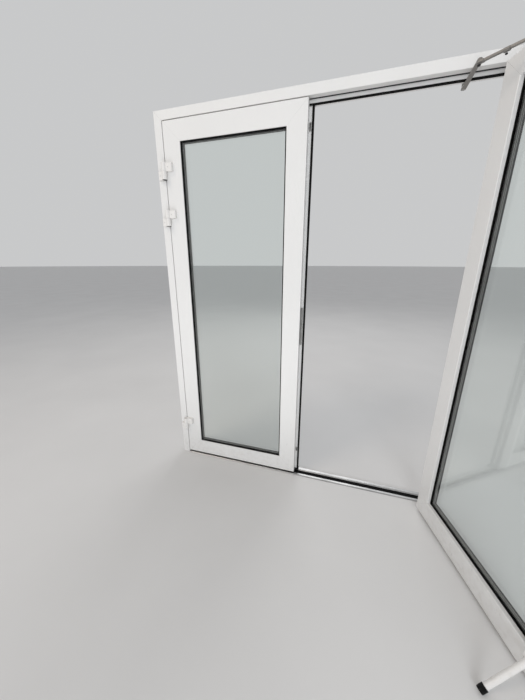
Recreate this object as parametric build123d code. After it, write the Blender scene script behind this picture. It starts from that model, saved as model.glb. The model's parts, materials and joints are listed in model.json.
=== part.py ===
from build123d import *
import os
from math import cos, sin, tan, radians, degrees, atan2, hypot, acos

# Double glass entrance door: a thermally broken aluminium frame, a fixed-shut passive leaf on the
# left and an active leaf on the right that stands open towards the front.
# X runs along the width, Y from the front face to the back, Z up from the floor. Millimetres.

# Overall sizes
DOOR_W = 1734.0
DOOR_H = 2200.0
DEPTH = 62.0
FACE = 46.0
GAP = 5.0
STOP = 22.0
LEAF_BOTTOM = 16.0
REST_OPEN = 108.4

# Extruded profiles
WALL = 2.0
SHELL_FRONT = 30.0
SHELL_REAR = 20.0
STRIP_T = 3.0
ARRIS = 1.2
LEAF_FACE = 104.0
BEAD_W = 22.0
LIP = 5.0
MEETING_INSET = 25.0
STRIP_SET = 4.0
FRAME_STRIP_SET = 6.0

# Glass unit and its rubbers
PANE = 6.0
UNIT = 32.0
FRONT_RUBBER = 4.0
REAR_RUBBER = 4.5
GLASS_BITE = 12.0
EDGE_SEAL = 20.0
RUBBER_SHOW = 4.0
RUBBER_HOLD = 10.0
BEAD_WALL = 1.6
BEAD_ROUND = 3.0
BLOCK_L = 100.0
BLOCK_INSET = 90.0

# Corner cleats
CLEAT_LEG = 74.0
CLEAT_BAR = 9.0
CLEAT_CLEAR = 0.3

# Frame gasket on the stop
GASKET_FOOT = 12.0
GASKET_FOOT_T = 2.0
GASKET_CLEAR = 1.2
GASKET_SIDE = 2.0
GASKET_SLOPE = 1.5
GASKET_LIP = 2.0
GASKET_LIP_D = 6.0

# Threshold
SILL_NOSE = 8.0
SILL_LIP_D = 10.0
SILL_LIP_H = 5.0
SILL_FLOOR_H = 3.0
SILL_BAR_H = 12.0
SILL_BAR_FOOT = 33.0
SILL_BAR_TOP = 44.0
SILL_SEAL_H = 2.0
SILL_STEP = 1.0
SILL_NOSE_SLOPE = 5.0
SEAL_RIBS = 4
SEAL_GROOVE = 1.6
BRUSH_CLEAR = 0.5
BRUSH_FRONT = 14.0
BRUSH_D = 14.0
BRUSH_HOLDER = 4.0

# Frame fixing holes through both jambs
FIX_COUNT = 4
FIX_FIRST_Z = 200.0
FIX_R = 4.0
FIX_DEPTH = 15.0

# Hinges
HINGE_LOW_Z = 257.5
HINGE_TOP_DOWN = 299.0
HINGE_PAIR = 247.5
HINGE_HALF = 42.5
HINGE_GAP = 0.5
AXIS_OUT = 15.0
KNUCKLE_R = 14.5
PIN_R = 6.0
PIN_FIT = 0.05
PIN_L = 66.0
CAP_BORE_R = 12.5
CAP_BORE_D = 9.0
CAP_T = 2.5
PASSIVE_CAP_COUNT = 2
BLOCK_NEAR = 2.0
BLOCK_OUT = 19.0
FRAME_BLOCK_REACH = 39.0
LEAF_BLOCK_REACH = 52.0
BLOCK_ROUND = 5.0

# Meeting profile (astragal) of the passive leaf
ASTRAGAL_REACH = 14.0
ASTRAGAL_FRONT = 40.0
ASTRAGAL_RIB = 18.0
NOSE_W = 11.0
NOSE_ROOT = 2.0
NOSE_CORNER = 4.0
NOSE_FRONT = 31.5
NOSE_BACK = 50.0
CAP_TOP_T = 2.0
CAP_BOTTOM_T = 7.0
CAP_FLOAT = 0.8
CAP_DROP = 2.0
CAP_SET = 1.0

# Flush bolts
BOLT_R = 4.5
BOLT_FIT = 0.3
BOLT_X = 4.5
BOLT_DEPTH = 54.0
BOLT_TAB_LOW = 183.0
BOLT_TAB_DOWN = 168.0
BOLT_TAIL = 40.0
BOLT_UP_TRAVEL = 20.0
BOLT_DOWN_TRAVEL = 11.0
TAB_W = 3.0
TAB_H = 10.0
TAB_OUT = 3.0
TAB_CLEAR = 1.0
HOUSING_W = 12.0
HOUSING_T = 1.2
KEEP_T = 1.5
KEEP_W = 14.0
KEEP_L = 44.0
KEEP_BUSH_R = 7.0

# Strike plate and lock
STRIKE_Z = (923.0, 1149.0)
STRIKE_T = 1.5
STRIKE_LEG = 12.0
STRIKE_SET = 4.0
STRIKE_CLEAR = 1.5
LOCK_BACKSET = 50.0
LOCK_T = 16.0
LOCK_DEPTH = 68.0
LOCK_WALL = 1.5
LOCK_Z = (935.0, 1145.0)
FACEPLATE_T = 2.5
FACEPLATE_Z = (915.0, 1165.0)
FACEPLATE_W = 24.0
FACEPLATE_FIT = 0.1
HANDLE_Z = 1085.0
CYLINDER_Z = 993.0
LATCH_Z = 1110.0
LATCH_H = 24.0
LATCH_W = 12.0
LATCH_OUT = 12.0
LATCH_L = 42.0
LATCH_NOSE = 2.0
DEAD_Z = 1035.0
DEAD_H = 30.0
DEAD_THROW = 20.0
DEAD_L = 36.0
BOLT_SLACK = 0.5
BORE_CLEAR = 1.0

# Lever handles, roses and cylinder
LEVER_R = 9.0
LEVER_OUT = 52.0
LEVER_L = 125.0
LEVER_W = 20.0
LEVER_T = 10.0
LEVER_EDGE = 2.5
LEVER_SOCKET = 22.0
LEVER_WEB = 1.0
SPINDLE = 8.0
SPINDLE_FIT = 0.05
ROSE_W = 32.0
ROSE_L = 72.0
ROSE_T = 8.0
ROSE_EDGE = 1.5
ROSE_CORNER = 6.0
ROSE_FIT = 0.1
CYL_R = 8.5
CYL_FIN_W = 10.0
CYL_FIN_H = 25.0
CYL_PROUD = 9.5
KEY_SLOT = (2.2, 9.0, 12.0)

# Closer: body on the head, arms and shoe
SPINDLE_SIDE = 162.0
SPINDLE_BACK = 24.0
CLOSER_L = 196.0
CLOSER_LEAD = 62.0
CLOSER_H = 48.0
CLOSER_D = 44.0
CLOSER_TOP_IN = 3.0
CLOSER_ROUND = 6.0
AXLE_R = 6.0
ARM_T = 6.0
ARM_TOP_GAP = 6.0
ARM_L = 198.1
ARM_HUB_R = 9.5
ARM_HUB_STEP = 1.0
HUB_CLEAR = 1.0
ARM_END_R = 7.5
ELBOW_WASHER_R = 7.0
ELBOW_GAP = 0.4
FOREARM_L = 175.0
FOREARM_T = 7.0
FOREARM_W = 11.0
FOREARM_EYE_R = 9.0
FOREARM_END_R = 8.0
FOREARM_WAIST = 15.0
FOREARM_DROP = 2.0
CLAMP_AT = 84.0
CLAMP_L = 18.0
CLAMP_R = 8.0
CLAMP_DROP = 1.0
SHOE_ALONG = 187.1
SHOE_OUT = 19.2
SHOE_PIN_R = 4.5
SHOE_PLATE = (56.0, 24.0, 4.0)
SHOE_ARM_W = 18.0
SHOE_ARM_T = 6.0
SHOE_ROUND = 4.0
SHOE_CLEAR = 0.5
SHOE_PIN_PROUD = 1.0

# Kick-down stop at the foot of the active leaf
KICK_FROM_EDGE = 58.5
KICK_PIVOT_OUT = 22.0
KICK_PIVOT_Z = 122.0
KICK_TILT = 12.0
KICK_DOWN = 34.3
KICK_L = 202.0
KICK_TUBE_R = 10.5
KICK_TUBE_WALL = 2.0
KICK_EYE_R = 11.0
KICK_FOOT_R = 12.5
KICK_FOOT_L = 24.0
KICK_FOOT_GRIP = 14.0
KICK_FOOT_EDGE = 2.0
KICK_PLATE = (40.0, 72.0, 3.0)
KICK_EAR_T = 3.0
KICK_EAR_R = 12.0
KICK_EAR_SINK = 0.5
KICK_PLATE_ROUND = 6.0
KICK_SIDE_CLEAR = 0.6
KICK_PIN_R = 4.0

# Places that follow from the sizes
FRONT = -DEPTH / 2
HALF_W = DOOR_W / 2
REAR_START = DEPTH - SHELL_REAR
CHAMBER = LEAF_FACE - BEAD_W
LEAF_TOP = DOOR_H - FACE - GAP
LEAF_HINGE_X = -(HALF_W - FACE - GAP)
LEAF_MEET_X = -GAP / 2
AXIS_X = HALF_W - FACE - GAP / 2
AXIS_Y = FRONT - AXIS_OUT
STOP_UNDER = DOOR_H - FACE - STOP
HINGE_SPLITS = (HINGE_LOW_Z, DOOR_H - HINGE_TOP_DOWN - HINGE_PAIR, DOOR_H - HINGE_TOP_DOWN)
BOLT_TABS = (BOLT_TAB_LOW, DOOR_H - BOLT_TAB_DOWN)
FIX_PITCH = (DOOR_H - 2 * FIX_FIRST_Z) / (FIX_COUNT - 1)
CAP_LOW = LEAF_BOTTOM - CAP_FLOAT - CAP_DROP
HANDLE_X = LEAF_MEET_X - LOCK_BACKSET
GLASS_FRONT = LIP + FRONT_RUBBER
GLASS_REAR = GLASS_FRONT + UNIT
BEAD_START = GLASS_REAR + REAR_RUBBER
ARM_TOP = STOP_UNDER - ARM_TOP_GAP
FOREARM_TOP = ARM_TOP - ARM_T - FOREARM_DROP


def depth(v):
    """Y of a plane that lies v behind the front face."""
    return FRONT + v


def rect(w0, w1, v0, v1):
    """Rectangle between two widths and two depths."""
    return Pos((w0 + w1) / 2, (v0 + v1) / 2) * Rectangle(w1 - w0, v1 - v0)


def block(x0, x1, y0, y1, z0, z1):
    """Box between two corners."""
    centre = Pos((x0 + x1) / 2, (y0 + y1) / 2, (z0 + z1) / 2)
    return centre * Box(x1 - x0, y1 - y0, z1 - z0)


def rod(radius, length, start, direction):
    """Round bar from a point along a direction."""
    return Plane(origin=start, z_dir=direction).location * Cylinder(
        radius, length, align=(Align.CENTER, Align.CENTER, Align.MIN))


def corners(section, *points):
    """Corners of a section that lie at the given points."""
    found = []
    for vertex in section.vertices():
        for w, v in points:
            if abs(vertex.X - w) < 0.01 and abs(vertex.Y - v) < 0.01:
                found.append(vertex)
    return found


def hollow(w0, w1, v0, v1):
    """Hollow box section of an extruded shell."""
    return rect(w0, w1, v0, v1) - rect(w0 + WALL, w1 - WALL, v0 + WALL, v1 - WALL)


def bar(section, length, mitre_start=True, mitre_end=True):
    """Extrusion along local Z, its ends cut at 45 degrees inwards where they are mitred."""
    piece = extrude(section, amount=length)
    if mitre_start:
        piece = split(piece, bisect_by=Plane((0, 0, 0), z_dir=(-1, 0, 1)), keep=Keep.TOP)
    if mitre_end:
        piece = split(piece, bisect_by=Plane((0, 0, length), z_dir=(-1, 0, -1)), keep=Keep.TOP)
    return piece


def sides(x0, x1, z0, z1):
    """The four sides of a rectangle, each as a place and a length.

    In each place the width runs inwards, the depth backwards and the length along the side.
    """
    up = Plane((x0, FRONT, z0), x_dir=(1, 0, 0), z_dir=(0, 0, 1))
    across = Plane((x0, FRONT, z1), x_dir=(0, 0, -1), z_dir=(1, 0, 0))
    down = Plane((x1, FRONT, z1), x_dir=(-1, 0, 0), z_dir=(0, 0, -1))
    back = Plane((x1, FRONT, z0), x_dir=(0, 0, 1), z_dir=(-1, 0, 0))
    return {
        "left": (up.location, z1 - z0),
        "top": (across.location, x1 - x0),
        "right": (down.location, z1 - z0),
        "bottom": (back.location, x1 - x0),
    }


def frame_ring(x0, x1, z0, z1, y0, y1, width):
    """Flat rectangular ring that stands upright, between two depths."""
    outer = block(x0, x1, y0, y1, z0, z1)
    return outer - block(x0 + width, x1 - width, y0 - 1, y1 + 1, z0 + width, z1 - width)


# Frame

def frame_sides():
    """The left jamb, the head and the right jamb as places and lengths."""
    return sides(-HALF_W, HALF_W, 0, DOOR_H)


def frame_member(side):
    """Front and rear aluminium shells of one frame side."""
    place, length = frame_sides()[side]
    ends = {"left": (False, True), "top": (True, True), "right": (True, False)}[side]
    front = hollow(0, FACE, 0, SHELL_FRONT)
    front = fillet(corners(front, (FACE, 0)), radius=ARRIS)
    rear = hollow(0, FACE + STOP, REAR_START, DEPTH)
    shells = [place * bar(front, length, *ends), place * bar(rear, length, *ends)]
    if side != "top":
        shells[1] -= block(-HALF_W + FACE, HALF_W - FACE, FRONT, -FRONT, 0, SILL_BAR_H)
        shells[0] -= fixing_holes(side)
    return shells


def fixing_holes(side):
    """Row of holes through a jamb's front shell, for the screws into the wall."""
    sign = -1 if side == "left" else 1
    holes = []
    for index in range(FIX_COUNT):
        start = (sign * (HALF_W + 1), depth(FIX_DEPTH), FIX_FIRST_Z + index * FIX_PITCH)
        holes.append(rod(FIX_R, FACE + 2, start, (-sign, 0, 0)))
    return holes


def frame_strips():
    """Black plastic strips that join the two shells of each frame side."""
    strips = []
    for side, (place, length) in frame_sides().items():
        ends = {"left": (False, True), "top": (True, True), "right": (True, False)}.get(side)
        if ends is None:
            continue
        for w in (FRAME_STRIP_SET, FACE - STRIP_T):
            section = rect(w, w + STRIP_T, SHELL_FRONT, REAR_START)
            strips.append(place * bar(section, length, *ends))
    return strips


def cleat(place_a, place_b, length_a, width):
    """L-shaped corner piece, in the chambers where one side ends and the next begins."""
    w0 = WALL + CLEAT_CLEAR
    w1 = width - WALL - CLEAT_CLEAR
    v0 = WALL + CLEAT_CLEAR
    v1 = SHELL_FRONT - WALL - CLEAT_CLEAR
    leg_a = rect(w0, w1, v0, v1) - rect(w0 + CLEAT_BAR, w1 - CLEAT_BAR, v0 - 1, v1 + 1)
    first = Pos(0, 0, length_a - w1 - CLEAT_LEG) * extrude(leg_a, amount=w1 + CLEAT_LEG)
    first = split(first, bisect_by=Plane((0, 0, length_a), z_dir=(-1, 0, -1)), keep=Keep.TOP)
    second = extrude(leg_a, amount=w1 + CLEAT_LEG)
    second = split(second, bisect_by=Plane((0, 0, 0), z_dir=(-1, 0, 1)), keep=Keep.TOP)
    middle = rect(w0 + CLEAT_BAR, w1 - CLEAT_BAR, v0, v1)
    web_a = Pos(0, 0, length_a - w1 - CLEAT_LEG) * extrude(middle, amount=CLEAT_BAR)
    web_b = Pos(0, 0, w1 + CLEAT_LEG - CLEAT_BAR) * extrude(middle, amount=CLEAT_BAR)
    return place_a * first + place_b * second + place_a * web_a + place_b * web_b


def frame_cleats():
    """Cleats in the two mitred corners of the frame."""
    around = frame_sides()
    pairs = (("left", "top"), ("top", "right"))
    return [cleat(around[a][0], around[b][0], around[a][1], FACE) for a, b in pairs]


def stop_gasket_section():
    """Rubber on the stop: a foot on its front face, a bulb towards the leaf and a lip on its nose."""
    nose = FACE + STOP
    root = nose - GASKET_FOOT
    top = REAR_START
    bulb = SHELL_FRONT + GASKET_CLEAR
    foot = top - GASKET_FOOT_T
    shoulder = root + GASKET_SIDE + GASKET_SLOPE
    outline = Polyline(
        (root, top), (root, foot), (root + GASKET_SIDE, foot), (shoulder, bulb),
        (nose - GASKET_SIDE, bulb),
        (nose, foot), (nose + GASKET_LIP, foot), (nose + GASKET_LIP, foot + GASKET_LIP_D),
        (nose, foot + GASKET_LIP_D), (nose, top), close=True)
    return make_face(outline)


def stop_gaskets():
    """Stop gaskets of the jambs and the head."""
    section = stop_gasket_section()
    around = frame_sides()
    strips = []
    for side, ends in (("left", (False, True)), ("top", (True, True)), ("right", (True, False))):
        place, length = around[side]
        strips.append(place * bar(section, length, *ends))
    floor_cut = block(-HALF_W, HALF_W, FRONT, -FRONT, 0, SILL_BAR_H)
    return [strip - floor_cut for strip in strips]


def threshold():
    """Low sill between the jambs: front lip, sunk floor and a bevelled bar that acts as the stop."""
    front = depth(-SILL_NOSE)
    outline = Polyline(
        (front, 0), (front + SILL_STEP, SILL_LIP_H / 2), (front + SILL_NOSE_SLOPE, SILL_LIP_H),
        (depth(SILL_LIP_D), SILL_LIP_H), (depth(SILL_LIP_D + SILL_STEP), SILL_FLOOR_H),
        (depth(SILL_BAR_FOOT), SILL_FLOOR_H), (depth(SILL_BAR_FOOT), SILL_FLOOR_H + SILL_STEP),
        (depth(SILL_BAR_TOP), SILL_BAR_H), (depth(DEPTH), SILL_BAR_H), (depth(DEPTH), 0), close=True)
    length = DOOR_W - 2 * FACE
    section = Plane.YZ * make_face(outline)
    sill = Pos(-length / 2, 0, 0) * extrude(section, amount=length)
    chamber = block(-length, length, depth(SILL_BAR_TOP + WALL), depth(DEPTH - WALL), WALL,
                    SILL_BAR_H - WALL)
    sill -= chamber
    return sill - rod(KEEP_BUSH_R, SILL_BAR_H, (BOLT_X, depth(BOLT_DEPTH), WALL), (0, 0, 1))


def threshold_seal():
    """Black ribbed rubber in the sunk floor of the sill."""
    length = DOOR_W - 2 * FACE
    y0 = depth(SILL_LIP_D + 2 * SILL_STEP)
    y1 = depth(SILL_BAR_FOOT - SILL_STEP)
    strip = block(-length / 2, length / 2, y0, y1, SILL_FLOOR_H, SILL_FLOOR_H + SILL_SEAL_H)
    pitch = (y1 - y0) / SEAL_RIBS
    half = SEAL_GROOVE / 2
    for index in range(1, SEAL_RIBS):
        y = y0 + index * pitch
        strip -= block(-length, length, y - half, y + half, SILL_FLOOR_H + SILL_SEAL_H / 2,
                       SILL_FLOOR_H + 2 * SILL_SEAL_H)
    return strip


def bolt_keeps():
    """Keep plate under the head's stop and bush in the sill, where the flush bolts enter."""
    y = depth(BOLT_DEPTH)
    plate = block(BOLT_X - KEEP_L / 2, BOLT_X + KEEP_L / 2, y - KEEP_W / 2, y + KEEP_W / 2,
                  STOP_UNDER - KEEP_T, STOP_UNDER)
    plate -= rod(BOLT_R + BOLT_FIT, 2 * KEEP_T, (BOLT_X, y, STOP_UNDER - 1.5 * KEEP_T), (0, 0, 1))
    bush = rod(KEEP_BUSH_R, SILL_BAR_H - WALL, (BOLT_X, y, WALL), (0, 0, 1))
    bush -= rod(BOLT_R + BOLT_FIT, SILL_BAR_H, (BOLT_X, y, WALL / 2), (0, 0, 1))
    return [plate, bush]


# Hinges

def hinge_block(end, z0, z1):
    """Mounting block of a hinge half and its knuckle, about the axis at the origin.

    end is how far the block reaches along X, negative for a block on the left.
    """
    near = BLOCK_NEAR if end > 0 else -BLOCK_NEAR
    front = AXIS_OUT - BLOCK_OUT
    outline = Polyline((near, AXIS_OUT), (end, AXIS_OUT), (end, front), (0, front), (0, 0), close=True)
    section = make_face(outline)
    section = fillet(corners(section, (end, front)), radius=BLOCK_ROUND)
    body = Pos(0, 0, z0) * extrude(section, amount=z1 - z0)
    return body + Pos(0, 0, z0) * Cylinder(KNUCKLE_R, z1 - z0,
                                           align=(Align.CENTER, Align.CENTER, Align.MIN))


def frame_hinge_half(side, split_z):
    """Lower hinge half on the frame, with a blind bore for the pin."""
    low = split_z - HINGE_HALF
    half = hinge_block(side * FRAME_BLOCK_REACH, low, split_z)
    half -= rod(PIN_R + PIN_FIT, HINGE_HALF, (0, 0, split_z - PIN_L / 2), (0, 0, 1))
    return Pos(side * AXIS_X, AXIS_Y, 0) * half


def leaf_hinge_half(side, split_z, capped):
    """Upper hinge half on the leaf; where its cap is missing, the wide seat above the pin is open."""
    low = split_z + HINGE_GAP
    top = split_z + HINGE_HALF
    half = hinge_block(-side * LEAF_BLOCK_REACH, low, top)
    half -= rod(PIN_R + PIN_FIT, HINGE_HALF - CAP_BORE_D, (0, 0, split_z), (0, 0, 1))
    if not capped:
        half -= rod(CAP_BORE_R, CAP_BORE_D, (0, 0, top - CAP_BORE_D), (0, 0, 1))
    return Pos(side * AXIS_X, AXIS_Y, 0) * half


def leaf_hinge_halves(side, caps):
    """Upper halves of a leaf's three hinges, of which the highest ones have caps."""
    bare = len(HINGE_SPLITS) - caps
    return [leaf_hinge_half(side, z, index >= bare) for index, z in enumerate(HINGE_SPLITS)]


def hinge_cap(side, split_z):
    """Plastic cap that closes the top of a hinge."""
    return rod(KNUCKLE_R, CAP_T, (side * AXIS_X, AXIS_Y, split_z + HINGE_HALF), (0, 0, 1))


def hinge_pins():
    """Steel pins of the six hinges, held in the lower halves."""
    pins = []
    for side in (-1, 1):
        for split_z in HINGE_SPLITS:
            start = (side * AXIS_X, AXIS_Y, split_z - PIN_L / 2)
            pins.append(rod(PIN_R, PIN_L, start, (0, 0, 1)))
    return pins


# Leaves, both drawn hinged on the left; the active one is mirrored and swung open at the end

def leaf_sides():
    """The four sides of the leaf as places and lengths."""
    return sides(LEAF_HINGE_X, LEAF_MEET_X, LEAF_BOTTOM, LEAF_TOP)


def rear_insets(meeting_inset):
    """How far each side's rear shell stands back from the leaf's edge."""
    return {"left": STOP, "top": STOP, "right": meeting_inset, "bottom": 0.0}


def leaf_front_section():
    """Front shell: a hollow box and the glazing lip beside it."""
    section = hollow(0, CHAMBER, 0, SHELL_FRONT) + rect(CHAMBER - WALL, LEAF_FACE, 0, LIP)
    return fillet(corners(section, (0, 0), (LEAF_FACE, 0)), radius=ARRIS)


def leaf_rear_trim(meeting_inset):
    """Room past the rear edges, which the rear shells of the rails must leave free."""
    y0 = depth(SHELL_FRONT)
    y1 = depth(DEPTH + 1)
    low = block(LEAF_HINGE_X - 1, LEAF_HINGE_X + STOP, y0, y1, 0, DOOR_H)
    high = block(LEAF_MEET_X - meeting_inset, LEAF_MEET_X + 1, y0, y1, 0, DOOR_H)
    return [low, high]


def leaf_member(side, meeting_inset):
    """Front and rear aluminium shells of one side of the leaf."""
    place, length = leaf_sides()[side]
    inset = rear_insets(meeting_inset)[side]
    rear = hollow(inset, CHAMBER, REAR_START, DEPTH)
    rear = fillet(corners(rear, (inset, DEPTH)), radius=ARRIS)
    shells = [place * bar(leaf_front_section(), length), place * bar(rear, length)]
    if side in ("top", "bottom"):
        shells[1] -= leaf_rear_trim(meeting_inset)
    return shells


def leaf_strips(meeting_inset):
    """Black plastic strips between the shells of all four sides."""
    strips = []
    for side, (place, length) in leaf_sides().items():
        outer = max(STOP, rear_insets(meeting_inset)[side]) + STRIP_SET
        for w in (outer, CHAMBER - STRIP_T):
            section = rect(w, w + STRIP_T, SHELL_FRONT, REAR_START)
            strip = place * bar(section, length)
            if side in ("top", "bottom"):
                strip -= leaf_rear_trim(meeting_inset)
            strips.append(strip)
    return strips


def leaf_cleats():
    """Cleats in the four mitred corners of the leaf's front shells."""
    around = leaf_sides()
    order = ("left", "top", "right", "bottom")
    cleats = []
    for index, name in enumerate(order):
        following = order[(index + 1) % len(order)]
        cleats.append(cleat(around[name][0], around[following][0], around[name][1], CHAMBER))
    return cleats


def inner_box(inset):
    """Rectangle of the leaf, drawn in on all sides."""
    return (LEAF_HINGE_X + inset, LEAF_MEET_X - inset, LEAF_BOTTOM + inset, LEAF_TOP - inset)


def glass_panes():
    """Front and rear panes of the sealed glass unit."""
    x0, x1, z0, z1 = inner_box(LEAF_FACE - GLASS_BITE)
    front = block(x0, x1, depth(GLASS_FRONT), depth(GLASS_FRONT + PANE), z0, z1)
    rear = block(x0, x1, depth(GLASS_REAR - PANE), depth(GLASS_REAR), z0, z1)
    return [front, rear]


def glass_spacer():
    """Spacer and edge seal that hold the panes apart."""
    x0, x1, z0, z1 = inner_box(LEAF_FACE - GLASS_BITE)
    return frame_ring(x0, x1, z0, z1, depth(GLASS_FRONT + PANE), depth(GLASS_REAR - PANE), EDGE_SEAL)


def glazing_rubbers():
    """Front and rear glazing gaskets, and the two blocks that the glass stands on."""
    x0, x1, z0, z1 = inner_box(LEAF_FACE - RUBBER_HOLD)
    width = RUBBER_HOLD + RUBBER_SHOW
    front = frame_ring(x0, x1, z0, z1, depth(LIP), depth(GLASS_FRONT), width)
    rear = frame_ring(x0, x1, z0, z1, depth(GLASS_REAR), depth(BEAD_START), width)
    low = LEAF_BOTTOM + CHAMBER
    high = LEAF_BOTTOM + LEAF_FACE - GLASS_BITE
    blocks = []
    for start in (LEAF_HINGE_X + LEAF_FACE + BLOCK_INSET,
                  LEAF_MEET_X - LEAF_FACE - BLOCK_INSET - BLOCK_L):
        blocks.append(block(start, start + BLOCK_L, depth(GLASS_FRONT), depth(GLASS_REAR), low, high))
    return [front, rear] + blocks


def glazing_beads():
    """Four snap-in beads, hollow towards the glass, with a rounded inner edge."""
    outer = rect(CHAMBER, LEAF_FACE, BEAD_START, DEPTH)
    outer = fillet(corners(outer, (LEAF_FACE, DEPTH)), radius=BEAD_ROUND)
    section = outer - rect(CHAMBER + BEAD_WALL, LEAF_FACE - BEAD_WALL, BEAD_START,
                           DEPTH - BEAD_WALL)
    return [place * bar(section, length) for place, length in leaf_sides().values()]


def bottom_brush():
    """Brush seal under the bottom rail, down to the sill."""
    low = SILL_FLOOR_H + SILL_SEAL_H + BRUSH_CLEAR
    holder = block(LEAF_HINGE_X + WALL, LEAF_MEET_X - WALL, depth(BRUSH_FRONT),
                   depth(BRUSH_FRONT + BRUSH_D), LEAF_BOTTOM - BRUSH_HOLDER, LEAF_BOTTOM)
    hair = block(LEAF_HINGE_X + WALL, LEAF_MEET_X - WALL, depth(BRUSH_FRONT + BRUSH_HOLDER),
                 depth(BRUSH_FRONT + BRUSH_D - BRUSH_HOLDER), low, LEAF_BOTTOM)
    return holder + hair


# Meeting edge of the passive leaf

def astragal():
    """Hollow meeting profile behind the passive leaf's edge, with slots for the bolt tabs."""
    back = LEAF_MEET_X - STOP
    tip = LEAF_MEET_X + ASTRAGAL_REACH
    rib = back + ASTRAGAL_RIB
    outer = rect(back, tip, ASTRAGAL_FRONT, DEPTH) + rect(back, rib, SHELL_FRONT, ASTRAGAL_FRONT)
    section = outer - rect(back + WALL, tip - WALL, ASTRAGAL_FRONT + WALL, DEPTH - WALL)
    section -= rect(back + WALL, rib - WALL, SHELL_FRONT + WALL, ASTRAGAL_FRONT)
    low = LEAF_BOTTOM + CAP_BOTTOM_T - CAP_FLOAT
    profile = Pos(0, FRONT, low) * extrude(section, amount=LEAF_TOP - STOP - low)
    for z, travel in bolt_slots():
        profile -= block(BOLT_X - TAB_W, BOLT_X + TAB_W, depth(ASTRAGAL_FRONT - 1),
                         depth(ASTRAGAL_FRONT + WALL + 1), z - tab_room(-travel), z + tab_room(travel))
    return profile


def bolt_slots():
    """Height of each bolt's tab and its travel, upwards positive."""
    return ((BOLT_TABS[0], -BOLT_DOWN_TRAVEL), (BOLT_TABS[1], BOLT_UP_TRAVEL))


def tab_room(travel):
    """How far a bolt slot reaches past the tab's middle, on the side that the travel is positive to."""
    return TAB_H / 2 + TAB_CLEAR + max(0, travel)


def astragal_gasket():
    """Rubber nose along the free edge of the meeting profile."""
    tip = LEAF_MEET_X + ASTRAGAL_REACH
    edge = tip + NOSE_W
    outline = Polyline(
        (tip, ASTRAGAL_FRONT - NOSE_ROOT), (tip + NOSE_ROOT, NOSE_FRONT),
        (edge - NOSE_ROOT, NOSE_FRONT), (edge, NOSE_FRONT + NOSE_CORNER),
        (edge, NOSE_BACK - NOSE_CORNER), (edge - NOSE_CORNER, NOSE_BACK), (tip, NOSE_BACK),
        close=True)
    low = LEAF_BOTTOM + CAP_BOTTOM_T - CAP_FLOAT
    strip = extrude(make_face(outline), amount=LEAF_TOP - STOP - low)
    return Pos(0, FRONT, low) * strip


def astragal_caps():
    """Black plastic ends of the meeting profile, bored for the flush bolts."""
    back = LEAF_MEET_X - STOP
    tip = LEAF_MEET_X + ASTRAGAL_REACH
    top_z = LEAF_TOP - STOP
    y0 = depth(SHELL_FRONT + CAP_SET)
    y1 = depth(DEPTH)
    top = block(back, tip, y0, y1, top_z, top_z + CAP_TOP_T)
    foot = block(back, tip + NOSE_W, y0, y1, CAP_LOW, LEAF_BOTTOM + CAP_BOTTOM_T - CAP_FLOAT)
    hole = rod(BOLT_R + BOLT_FIT, DOOR_H, (BOLT_X, depth(BOLT_DEPTH), 0), (0, 0, 1))
    return [top - hole, foot - hole]


def bolt_housings():
    """Slotted plates round the thumb tabs of the flush bolts."""
    plates = []
    for z, travel in bolt_slots():
        low = z - TAB_H - max(0, -travel)
        high = z + TAB_H + max(0, travel)
        y0 = depth(ASTRAGAL_FRONT - HOUSING_T)
        plate = block(BOLT_X - HOUSING_W / 2, BOLT_X + HOUSING_W / 2, y0, depth(ASTRAGAL_FRONT),
                      low, high)
        plate = chamfer(plate.edges().filter_by(Axis.Y), length=HOUSING_W / 4)
        slot = block(BOLT_X - TAB_W, BOLT_X + TAB_W, y0 - 1, depth(ASTRAGAL_FRONT + 1),
                     z - tab_room(-travel), z + tab_room(travel))
        plates.append(plate - slot)
    return plates


def flush_bolt(tab_z, end_z):
    """Sliding rod with its thumb tab, drawn back."""
    tail = tab_z - BOLT_TAIL if end_z > tab_z else tab_z + BOLT_TAIL
    y = depth(BOLT_DEPTH)
    shaft = rod(BOLT_R, abs(end_z - tail), (BOLT_X, y, min(tail, end_z)), (0, 0, 1))
    tab = block(BOLT_X - TAB_W / 2, BOLT_X + TAB_W / 2, depth(ASTRAGAL_FRONT - TAB_OUT), y,
                tab_z - TAB_H / 2, tab_z + TAB_H / 2)
    return shaft + tab


def lock_windows(grow):
    """Openings for the latch and the dead bolt, across the meeting edges of both leaves."""
    y = depth(SHELL_FRONT / 2)
    x0 = LEAF_MEET_X - 2 * WALL
    x1 = LEAF_MEET_X + 2 * WALL
    windows = []
    for z, height in ((LATCH_Z, LATCH_H), (DEAD_Z, DEAD_H)):
        windows.append(block(x0, x1, y - LATCH_W / 2 - grow, y + LATCH_W / 2 + grow,
                             z - height / 2 - grow, z + height / 2 + grow))
    return windows


def strike_plate():
    """Angled steel strike: one leg on the passive leaf's edge, one on the meeting profile."""
    z0, z1 = STRIKE_Z
    edge = LEAF_MEET_X
    leg = block(edge, edge + STRIKE_T, depth(STRIKE_SET), depth(ASTRAGAL_FRONT), z0, z1)
    face = block(edge, edge + STRIKE_LEG, depth(ASTRAGAL_FRONT - STRIKE_T), depth(ASTRAGAL_FRONT),
                 z0, z1)
    return leg + face - lock_windows(STRIKE_CLEAR)


# Lock, handles and cylinder of the active leaf

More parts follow.
